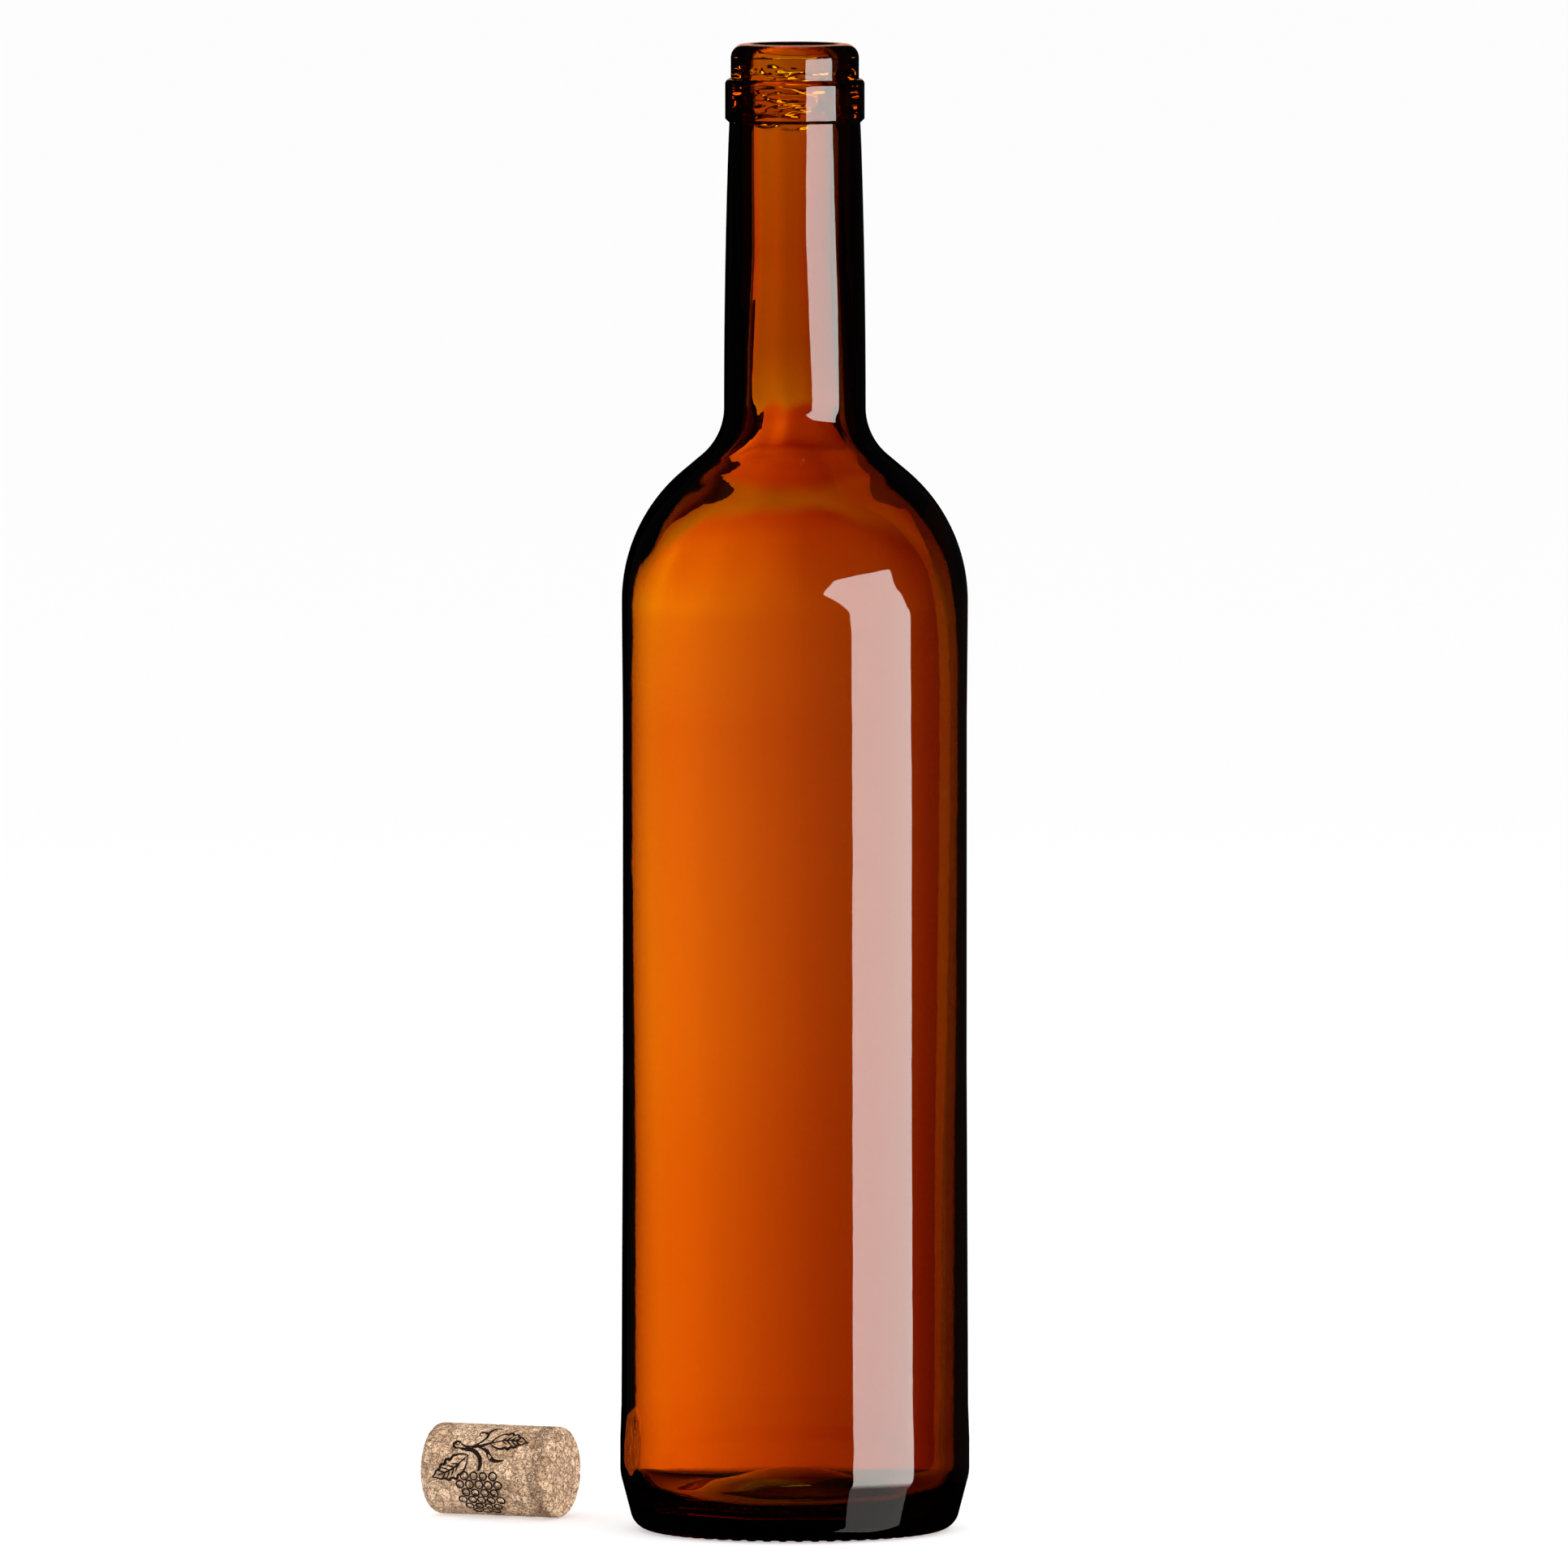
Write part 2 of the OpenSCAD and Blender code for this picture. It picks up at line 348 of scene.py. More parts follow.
@dataclass(frozen=True)
class CorkGranules:
    """The effect of glued cork granules, which the cork and its ink share."""

    granules: float = 420.0
    bend_scale: float = 600.0
    bend_reach: float = 1.6 * MM
    glue_scale: float = 900.0
    glue_width: float = 0.16
    glue_share: float = 0.6
    swirl_scale: float = 620.0
    swirl_twist: float = 1.4
    swirl_thinness: float = 34.0
    hole_scale: float = 1500.0
    hole_roughness: float = 0.62
    hole_low: float = 0.61
    hole_high: float = 0.72
    speck_scale: float = 4200.0
    dip: float = -0.7
    rise: float = 0.5

    def build(self) -> bpy.types.NodeTree:
        """Builds the group.

        Returns:
            A group with the outputs Tone, a value for each granule, Seam, dark glue lines, Pit, small dark
            holes, Speck, a fine grain, and Height.
        """
        inputs = {"Vector": ("NodeSocketVector", None), "Granules": ("NodeSocketFloat", self.granules)}
        graph, ins, outs = new_group("cork_granules", inputs, ["Tone", "Seam", "Pit", "Speck", "Height"])
        at = ins["Vector"]
        bent = graph.add("ShaderNodeVectorMath", operation="MULTIPLY_ADD")
        bent.inputs[1].default_value = (self.bend_reach,) * 3
        graph.join(graph.noise(at, self.bend_scale, 3.0).outputs["Color"], bent.inputs[0])
        graph.join(at, bent.inputs[2])

        cells = {}
        for feature in ("F1", "DISTANCE_TO_EDGE"):
            cells[feature] = graph.add("ShaderNodeTexVoronoi", feature=feature)
            graph.join(bent.outputs[0], cells[feature].inputs["Vector"])
            graph.join(ins["Granules"], cells[feature].inputs["Scale"])
        tone = graph.add("ShaderNodeSeparateColor")
        graph.join(cells["F1"].outputs["Color"], tone.inputs[0])
        graph.join(tone.outputs[0], outs["Tone"])

        width = graph.math("MULTIPLY", graph.noise(at, self.glue_scale).outputs["Fac"], self.glue_width)
        off_glue = graph.math("DIVIDE", cells["DISTANCE_TO_EDGE"].outputs["Distance"], width)
        glued = graph.math("SUBTRACT", 1.0, off_glue, clamp=True)
        swirl = graph.noise(at, self.swirl_scale, twist=self.swirl_twist).outputs["Fac"]
        off_swirl = graph.math("ABSOLUTE", graph.math("SUBTRACT", swirl, 0.5))
        past_swirl = graph.math("MULTIPLY", off_swirl, self.swirl_thinness)
        crack = graph.math("SUBTRACT", 1.0, past_swirl, clamp=True)
        seam = graph.math("MAXIMUM", graph.math("MULTIPLY", glued, self.glue_share), crack)
        graph.join(seam, outs["Seam"])

        holes = graph.noise(at, self.hole_scale, 4.0, self.hole_roughness).outputs["Fac"]
        pit = graph.band(holes, self.hole_low, self.hole_high)
        graph.join(pit, outs["Pit"])
        speck = graph.noise(at, self.speck_scale, 3.0).outputs["Fac"]
        graph.join(speck, outs["Speck"])
        dips = graph.math("MULTIPLY", graph.math("MAXIMUM", seam, pit), self.dip)
        graph.join(graph.math("ADD", dips, graph.math("MULTIPLY", speck, self.rise)), outs["Height"])
        return graph.tree


# ---------------------------------------------------------------------------------------------------------
# Finishes
# ---------------------------------------------------------------------------------------------------------


@dataclass(frozen=True)
class AmberGlass:
    """Amber bottle glass, which swallows blue first and green next."""

    refraction: float = 1.52
    # Share of red, green and blue left after one metre, scaled by the density
    tint: Colour = (0.93, 0.735, 0.01, 1.0)
    density: float = 1000.0
    smudge: float = 0.035
    smudge_scale: float = 38.0
    ripple: float = 0.035
    ripple_h: float = 2.0 * MM

    def material(self, polish: bpy.types.NodeTree) -> bpy.types.Material:
        """Builds the glass.

        Args:
            polish: The group for uneven polish.

        Returns:
            The material.
        """
        material, graph, principled, output = new_material("amber_glass")
        principled.inputs["Base Color"].default_value = grey(1.0)
        principled.inputs["Transmission Weight"].default_value = 1.0
        principled.inputs["IOR"].default_value = self.refraction
        smudges = place_group(
            graph, polish, Vector=graph.place(), Scale=self.smudge_scale, Low=0.0, High=self.smudge
        )
        graph.join(smudges.outputs["Roughness"], principled.inputs["Roughness"])
        ripple = graph.bump(smudges.outputs["Height"], self.ripple, self.ripple_h)
        graph.join(ripple, principled.inputs["Normal"])
        swallow = graph.add("ShaderNodeVolumeAbsorption")
        swallow.inputs["Color"].default_value = self.tint
        swallow.inputs["Density"].default_value = self.density
        graph.join(swallow.outputs[0], output.inputs["Volume"])
        return material


@dataclass(frozen=True)
class AgglomeratedCork:
    """Glued granules of cork bark, with dark glue lines, pits and a band of painted shade by one rim."""

    pale: Colour = (0.76, 0.53, 0.35, 1.0)
    middle: Colour = (0.62, 0.41, 0.26, 1.0)
    brown: Colour = (0.43, 0.265, 0.155, 1.0)
    glue: Colour = (0.17, 0.085, 0.045, 1.0)
    hole: Colour = (0.055, 0.026, 0.014, 1.0)
    granules: float = 430.0
    mottle_scale: float = 1500.0
    brighter: float = 1.35
    seam_share: float = 0.8
    # Share of painted shade in the dark band by the right rim
    rim_shade_share: float = 0.85
    hole_share: float = 0.9
    smoothest: float = 0.8
    rougher: float = 0.12
    sheen: float = 0.3
    crevice_h: float = 0.7 * MM

    def material(self, granules: bpy.types.NodeTree, half_length: float) -> bpy.types.Material:
        """Builds the cork.

        Args:
            granules: The group of granules.
            half_length: Half the cork's length, in metres.

        Returns:
            The material.
        """
        material, graph, principled, _ = new_material("agglomerated_cork")
        place = graph.place()
        grain = place_group(graph, granules, Vector=place, Granules=self.granules)
        barks = [(0.0, self.brown), (0.25, self.middle), (0.6, self.pale), (1.0, self.middle)]
        bark = graph.ramp(grain.outputs["Tone"], barks)
        cloud = graph.noise(place, self.mottle_scale, 4.0, 0.6).outputs["Fac"]
        mottle = graph.ramp(cloud, [(0.36, grey(0.42)), (0.5, grey(0.92)), (0.64, grey(1.0))])
        lit = graph.mix(1.0, mottle, grey(self.brighter), "MULTIPLY")
        shaded = graph.mix(1.0, bark, lit, "MULTIPLY")
        lined = graph.mix(graph.math("MULTIPLY", grain.outputs["Seam"], self.seam_share), shaded, self.glue)
        # Painted shade: a grainy dark band near the right rim, mixed towards the glue colour
        speckled = graph.ramp(grain.outputs["Speck"], [(0.42, grey(0.0)), (0.6, grey(1.0))])
        rim_shade_mask = graph.math("MULTIPLY", self.painted_rim_shade(graph, place, half_length), speckled)
        banded = graph.mix(graph.math("MULTIPLY", rim_shade_mask, self.rim_shade_share), lined, self.glue)
        colour = graph.mix(graph.math("MULTIPLY", grain.outputs["Pit"], self.hole_share), banded, self.hole)
        graph.join(colour, principled.inputs["Base Color"])
        grainy = graph.math("MULTIPLY", grain.outputs["Speck"], self.rougher)
        graph.join(graph.math("ADD", grainy, self.smoothest), principled.inputs["Roughness"])
        principled.inputs["Specular IOR Level"].default_value = self.sheen
        graph.join(graph.bump(grain.outputs["Height"], 1.0, self.crevice_h), principled.inputs["Normal"])
        return material

    def painted_rim_shade(self, graph: Graph, place: Socket, half_length: float) -> Socket:
        """A mask of painted shade: a dark band round the cork near its right rim, where the rounded rim turns
        away from the light.

        Args:
            graph: The material's graph.
            place: Places in the cork's own axes.
            half_length: Half the cork's length, in metres.

        Returns:
            The mask.
        """
        wander = graph.math("MULTIPLY", graph.noise(place, 240.0).outputs["Fac"], 0.16)
        along = graph.math("DIVIDE", graph.axes(place).outputs["Z"], half_length)
        stops = [(0.72, grey(0.0)), (0.83, grey(0.85)), (0.94, grey(1.0)), (1.0, grey(0.35))]
        return graph.ramp(graph.math("ADD", along, wander), stops, smooth=True)


@dataclass(frozen=True)
class PrintInk:
    """Dark brown ink, thin enough for the granules to break it up."""

    dark: Colour = (0.012, 0.0035, 0.002, 1.0)
    worn: Colour = (0.05, 0.02, 0.012, 1.0)
    granules: float = 430.0
    dull_scale: float = 900.0
    smoothest: float = 0.55
    roughest: float = 0.8
    raise_share: float = 0.5
    raise_h: float = 0.2 * MM

    def material(self, granules: bpy.types.NodeTree, polish: bpy.types.NodeTree) -> bpy.types.Material:
        """Builds the ink.

        Args:
            granules: The group of granules.
            polish: The group for uneven polish.

        Returns:
            The material.
        """
        material, graph, principled, _ = new_material("print_ink")
        place = graph.place()
        grain = place_group(graph, granules, Vector=place, Granules=self.granules)
        thin = graph.ramp(grain.outputs["Speck"], [(0.5, grey(0.0)), (0.72, grey(1.0))])
        graph.join(graph.mix(thin, self.dark, self.worn), principled.inputs["Base Color"])
        dull = place_group(
            graph, polish, Vector=place, Scale=self.dull_scale, Low=self.smoothest, High=self.roughest
        )
        graph.join(dull.outputs["Roughness"], principled.inputs["Roughness"])
        raised = graph.bump(grain.outputs["Height"], self.raise_share, self.raise_h)
        graph.join(raised, principled.inputs["Normal"])
        return material


# ---------------------------------------------------------------------------------------------------------
# The bottle
# ---------------------------------------------------------------------------------------------------------


@dataclass
class Bottle:
    """One blown wall of glass, in millimetres: punt, heel, body, shoulder, neck, ring and lip."""

    height: float
    panel_r: float = 36.5
    heel_band_r: float = 37.15
    shoulder_band_r: float = 36.7
    body_bore_r: float = 33.9
    panel_bottom: float = 100.0
    panel_top: float = 187.0
    bearing_in_r: float = 27.0
    bearing_out_r: float = 30.5
    corner_r: float = 4.5
    bearing_lip_r: float = 3.0
    punt_h: float = 9.5
    floor_top: float = 13.2
    floor_low: float = 5.5
    inner_corner_r: float = 9.0
    heel_round: float = 10.0
    heel_band_bottom: float = 13.4
    heel_band_top: float = 19.4
    shoulder_bottom: float = 197.9
    shoulder_r: float = 36.0
    throat_r: float = 13.0
    lean: float = 50.0
    inner_shoulder_r: float = 33.0
    inner_throat_r: float = 17.4
    neck_foot_r: float = 15.0
    neck_top_r: float = 13.9
    bore_r: float = 9.25
    bore_len: float = 45.0
    bore_foot_r: float = 10.6
    bore_foot_rise: float = 0.0
    ring_r: float = 14.8
    ring_bottom: float = 299.6
    ring_top: float = 308.8
    ring_chamfer: float = 0.7
    ring_round: float = 1.2
    lip_r: float = 13.6
    lip_round: float = 3.0
    mouth_round: float = 0.9
    knurls: int = 57
    knurl_h: float = 0.45
    knurl_in_r: float = 28.6
    steps_per_knurl: int = 6
    seam_h: float = 0.05
    seam_half: float = 0.35
    seams: tuple[float, float] = (0.0, 180.0)
    outer_swell: float = 0.003
    inner_swell: float = 0.05
    shoulder_swell: float = 0.22
    streak: float = 0.16
    fold: float = 0.2
    floor_swell: float = 0.35
    thin_wall: float = 0.7
    # Heights between which each of these comes and goes
    seam_zone: Zone = (20.0, 26.0, 296.0, 299.0)
    shoulder_zone: Zone = (190.0, 205.0, 236.0, 252.0)
    finish_zone: Zone = (297.0, 300.5, 309.5, 312.0)
    wall_zone: Zone = (12.0, 30.0, 306.0, 314.0)
    thin_zone: Zone = (60.0, 165.0, 180.0, 215.0)
    glass: AmberGlass = field(default_factory=AmberGlass)

    def straight_run(self, width: float, radii: float) -> float:
        """Length of the straight stretch between two curves that together cross a width."""
        lean = math.radians(self.lean)
        return (width - radii * (1 - math.cos(lean))) / math.sin(lean)

    @property
    def neck_bottom(self) -> float:
        """Height where the hollow curve at the foot of the neck ends."""
        lean = math.radians(self.lean)
        radii = self.shoulder_r + self.throat_r
        run = self.straight_run(self.shoulder_band_r - self.neck_foot_r, radii)
        return self.shoulder_bottom + radii * math.sin(lean) + run * math.cos(lean)

    def dome(self, trough_at: float, trough_r: float, rise: float, low: float) -> list[Point]:
        """A dome that runs smoothly down into a round trough.

        Args:
            trough_at: Distance of the trough's bottom from the axis.
            trough_r: Radius of the trough.
            rise: Height of the dome above the trough's bottom.
            low: Height of the trough's bottom.

        Returns:
            The points from near the axis to the trough's bottom.
        """
        r = (trough_at**2 + rise**2 - 2 * trough_r * rise) / (2 * rise)
        edge = math.degrees(math.atan2(trough_r - rise + r, trough_at))
        cap = arc(0.0, low + rise - r, r, 90.0, edge, 1.5)[1:]
        return cap + arc(trough_at, low + trough_r, trough_r, edge + 180.0, 270.0, 4.0)[1:]

    def outside(self) -> list[Point]:
        """Outline of the outer skin, from the punt's middle to the lip's top."""
        dr = self.bearing_out_r - self.heel_band_r + self.heel_round
        dz = self.heel_band_bottom - self.corner_r
        reach = (self.heel_round - self.corner_r) / math.hypot(dr, dz)
        tuck = math.degrees(math.atan2(dz, dr) - math.acos(reach))
        neck_h = self.ring_bottom - self.neck_bottom
        shoulder_in = self.shoulder_band_r - self.shoulder_r
        ring_in, ring_edge = self.ring_r - self.ring_round, self.ring_top - self.ring_round
        lip_edge = self.height - self.lip_round
        chamfer_top = self.ring_bottom + self.ring_chamfer
        taper = [
            (self.neck_foot_r + (self.neck_top_r - self.neck_foot_r) * t * t, self.neck_bottom + neck_h * t)
            for t in (i / 24 for i in range(1, 25))
        ]
        return (
            self.dome(self.bearing_in_r, self.bearing_lip_r, self.punt_h, 0.0)
            + filled_in([(self.bearing_in_r + 0.8, 0.0), (self.bearing_out_r, 0.0)], 0.3)
            + arc(self.bearing_out_r, self.corner_r, self.corner_r, -90.0, -tuck, 4.0)[1:]
            + arc(self.heel_band_r - self.heel_round, self.heel_band_bottom, self.heel_round, -tuck, 0.0)
            + filled_in(self.body_side(), 3.0)
            + arc(shoulder_in, self.shoulder_bottom, self.shoulder_r, 0.0, self.lean)
            + arc(self.neck_foot_r + self.throat_r, self.neck_bottom, self.throat_r, 180.0 + self.lean, 180.0)
            + taper
            + [(self.ring_r - self.ring_chamfer, self.ring_bottom), (self.ring_r, chamfer_top)]
            + filled_in([(self.ring_r, self.ring_bottom + 1.0), (self.ring_r, ring_edge - 0.1)], 0.8)
            + arc(ring_in, ring_edge, self.ring_round, 0.0, 90.0, 9.0)
            + filled_in([(self.lip_r, self.ring_top + 0.1), (self.lip_r, lip_edge - 0.1)], 0.8)
            + arc(self.lip_r - self.lip_round, lip_edge, self.lip_round, 0.0, 90.0, 4.5)
        )

    def body_side(self) -> list[Point]:
        """Outline of the body between the heel band and the shoulder."""
        return [
            (self.heel_band_r, self.heel_band_bottom + 0.5),
            (self.heel_band_r, self.heel_band_top),
            (self.heel_band_r - 0.12, self.heel_band_top + 3.0),
            (self.panel_r + 0.35, self.heel_band_top + 7.0),
            (self.panel_r, self.panel_bottom),
            (self.panel_r, self.panel_top - 14.0),
            (self.shoulder_band_r, self.panel_top + 9.0),
            (self.shoulder_band_r, self.shoulder_bottom - 0.5),
        ]

    def inside(self) -> list[Point]:
        """Outline of the inner skin, from the mouth's rounding to the floor's middle."""
        lean = math.radians(self.lean)
        foot = self.neck_bottom + self.bore_foot_rise
        radii = self.inner_shoulder_r + self.inner_throat_r
        run = self.straight_run(self.body_bore_r - self.bore_foot_r, radii)
        low = foot - radii * math.sin(lean) - run * math.cos(lean)
        corner = (self.body_bore_r - self.inner_corner_r, self.floor_low + self.inner_corner_r)
        bore_top = self.height - self.mouth_round
        bore_foot = bore_top - self.bore_len
        floor = self.dome(corner[0], self.inner_corner_r, self.floor_top - self.floor_low, self.floor_low)
        return (
            arc(self.bore_r + self.mouth_round, bore_top, self.mouth_round, 90.0, 180.0, 9.0)
            + filled_in([(self.bore_r, bore_top - 0.3), (self.bore_r, bore_top - 22.0)], 0.3)
            + filled_in([(self.bore_r, bore_top - 24.0), (self.bore_r, bore_foot)], 2.0)
            + filled_in([(self.bore_r + 0.1, bore_foot - 2.0), (self.bore_foot_r, foot + 1.0)], 2.0)
            + arc(self.bore_foot_r + self.inner_throat_r, foot, self.inner_throat_r, 180.0, 180.0 + self.lean)
            + arc(self.body_bore_r - self.inner_shoulder_r, low, self.inner_shoulder_r, self.lean, 0.0)
            + filled_in([(self.body_bore_r, low - 2.0), (self.body_bore_r, corner[1] + 1.0)], 3.0)
            + arc(corner[0], corner[1], self.inner_corner_r, 0.0, -86.0, 3.0)
            + list(reversed(floor))
        )

    def wobble(self, side: Side, r: float, z: float, turn: float) -> tuple[float, float]:
        """How far blown glass strays from a true turning, in millimetres.

        Args:
            side: Side of the wall.
            r: Distance from the axis.
            z: Height.
            turn: Angle round the axis, in radians.

        Returns:
            The change of r and the change of z.
        """
        x, y = math.cos(turn), math.sin(turn)
        if side is Side.OUTSIDE:
            slow = self.outer_swell * noise.noise(Vector((1.5 * x, 1.5 * y, z / 30.0)))
            seam = max(math.exp(-((r * self.angle_to(turn, s) / self.seam_half) ** 2)) for s in self.seams)
            return slow + self.seam_h * seam * between(self.seam_zone, z), self.groove(r, z, turn)
        swell = noise.noise(Vector((1.3 * x + 7.0, 1.3 * y, z / 46.0)))
        patchy = noise.noise(Vector((2.6 * x, 2.6 * y + 3.0, z / 13.0)))
        streak = noise.noise(Vector((1.6 * x, 1.6 * y, z / 1.15)))
        fold = noise.noise(Vector((3.2 * x + 9.0, 3.2 * y, z / 2.6)))
        change = between(self.wall_zone, z) * self.inner_swell * swell
        change += between(self.shoulder_zone, z) * self.shoulder_swell * patchy
        change += between(self.finish_zone, z) * (self.streak * streak + self.fold * fold)
        change += between(self.thin_zone, z) * self.thin_wall
        lump = noise.noise(Vector((0.09 * r * x, 0.09 * r * y, 5.0)))
        return change, (1 - smooth_step(14.0, 26.0, z)) * self.floor_swell * lump

    def angle_to(self, turn: float, seam: float) -> float:
        """Turn in radians between a point and a mould seam."""
        return abs((turn - math.radians(seam) + math.pi) % (2 * math.pi) - math.pi)

    def groove(self, r: float, z: float, turn: float) -> float:
        """How far a point of the bearing ring is lifted by the groove between two knurls."""
        if z >= self.knurl_h or r < self.knurl_in_r:
            return 0.0
        wave = 0.5 - 0.5 * math.cos(turn * self.knurls)
        inward = smooth_step(self.knurl_in_r, self.knurl_in_r + 0.9, r)
        return max(0.0, self.knurl_h * smooth_step(0.25, 0.7, wave) * inward - z)

    def build(self) -> bpy.types.Object:
        """Builds the glass as one closed skin.

        Returns:
            The object.
        """
        count = self.knurls * self.steps_per_knurl
        turns = [2 * math.pi * i / count for i in range(count)]
        rings = []
        for side, outline in ((Side.OUTSIDE, self.outside()), (Side.INSIDE, self.inside())):
            for r, z in outline:
                ring = []
                for turn in turns:
                    dr, dz = self.wobble(side, r, z, turn)
                    at = (r + dr) * MM
                    ring.append(Vector((at * math.cos(turn), at * math.sin(turn), (z + dz) * MM)))
                rings.append(ring)
        first, last = Vector((0, 0, self.punt_h * MM)), Vector((0, 0, self.floor_top * MM))
        points, faces = lathe(rings, first, last)
        return new_mesh_object("bottle_glass", points, faces, sharp=38.0)

    def dress(self, obj: bpy.types.Object, polish: bpy.types.NodeTree) -> None:
        """Gives the glass its material and puts it on its body."""
        obj.data.materials.append(self.glass.material(polish))
        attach(obj, "bottle")
        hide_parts("bottle")


# ---------------------------------------------------------------------------------------------------------
# The cork and its print
# ---------------------------------------------------------------------------------------------------------


@dataclass
class Cork:
    """A straight agglomerated cork with rounded rims. Its own Z axis runs along it; the rest is in metres."""

    middle: Vector
    radius: float
    length: float
    yaw: float = 23.6
    rim: float = 1.6 * MM
    around: int = 330
    step: float = 0.16 * MM
    granule: float = 2.3 * MM
    crevice: float = 0.16 * MM
    finish: AgglomeratedCork = field(default_factory=AgglomeratedCork)

    def place(self) -> Matrix:
        """Where the cork lies: on its side, its right end turned towards the viewer."""
        turn = Matrix.Rotation(math.radians(-self.yaw), 4, "Z") @ Matrix.Rotation(math.radians(90.0), 4, "Y")
        return Matrix.Translation(self.middle) @ turn

    def dip(self, at: Vector) -> float:
        """How deep the surface lies under the true cylinder.

        Args:
            at: A point of the true cylinder, in the cork's own axes.

        Returns:
            The depth in metres, never negative.
        """
        warp = noise.noise_vector(at / (1.4 * MM)) * 0.35
        cell = at / self.granule + warp
        near = noise.voronoi(cell, distance_metric="DISTANCE", exponent=2.5)[0]
        seam = 1 - smooth_step(0.0, 0.16, near[1] - near[0])
        broken = smooth_step(-0.15, 0.35, noise.noise(at / (2.1 * MM)))
        pit = smooth_step(0.30, 0.48, noise.noise(at / (0.75 * MM) + Vector((3, 1, 4))))
        deep = smooth_step(0.36, 0.5, noise.noise(at / (1.5 * MM) + Vector((9, 2, 6))))
        grain = 0.5 + 0.5 * noise.noise(at / (0.38 * MM))
        return self.crevice * (seam * broken + pit + 1.3 * deep + 0.22 * grain)

    def outline(self) -> list[Point]:
        """Outline from the middle of one end to the middle of the other."""
        half, flat = self.length / 2, self.radius - self.rim
        end = filled_in([(self.step, -half), (flat, -half)], self.step * 1.4)
        side = filled_in([(self.radius, self.rim - half), (self.radius, half - self.rim)], self.step)
        low = arc(flat, self.rim - half, self.rim, -90.0, 0.0, 6.0)[1:-1]
        high = arc(flat, half - self.rim, self.rim, 0.0, 90.0, 6.0)[1:-1]
        return end + low + side + high + [(r, half) for r, _ in reversed(end)]

    def inward(self, r: float, along: float, turn: float) -> Vector:
        """The way into the cork from a point of its skin."""
        half, flat = self.length / 2 - self.rim, self.radius - self.rim
        over = max(abs(along) - half, 0.0)
        out = max(r - flat, 0.0) if over > 0 else 1.0
        return -Vector((out * math.cos(turn), out * math.sin(turn), math.copysign(over, along))).normalized()

    def build(self) -> bpy.types.Object:
        """Builds the cork as one closed skin with its crevices and pits.

        Returns:
            The object, lying in its place.
        """
        turns = [2 * math.pi * i / self.around for i in range(self.around)]
        rings = []
        for r, along in self.outline():
            ring = []
            for turn in turns:
                at = Vector((r * math.cos(turn), r * math.sin(turn), along))
                ring.append(at + self.inward(r, along, turn) * self.dip(at))
            rings.append(ring)
        half = self.length / 2 - self.crevice * 0.3
        points, faces = lathe(rings, Vector((0, 0, -half)), Vector((0, 0, half)))
        obj = new_mesh_object("cork_body", points, faces, sharp=180.0)
        obj.matrix_world = self.place()
        return obj

    def dress(self, obj: bpy.types.Object, granules: bpy.types.NodeTree) -> None:
        """Gives the cork its material and puts it on its body."""
        obj.data.materials.append(self.finish.material(granules, self.length / 2))
        obj.visible_glossy = False
        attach(obj, "cork")
        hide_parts("cork")


@dataclass
class Stroke:
    """One line of the print: where it runs, in millimetres right and up, and how wide it is along its way."""

    way: Callable[[float], Point]
    width: Callable[[float], float]
    steps: int = 24
    closed: bool = False


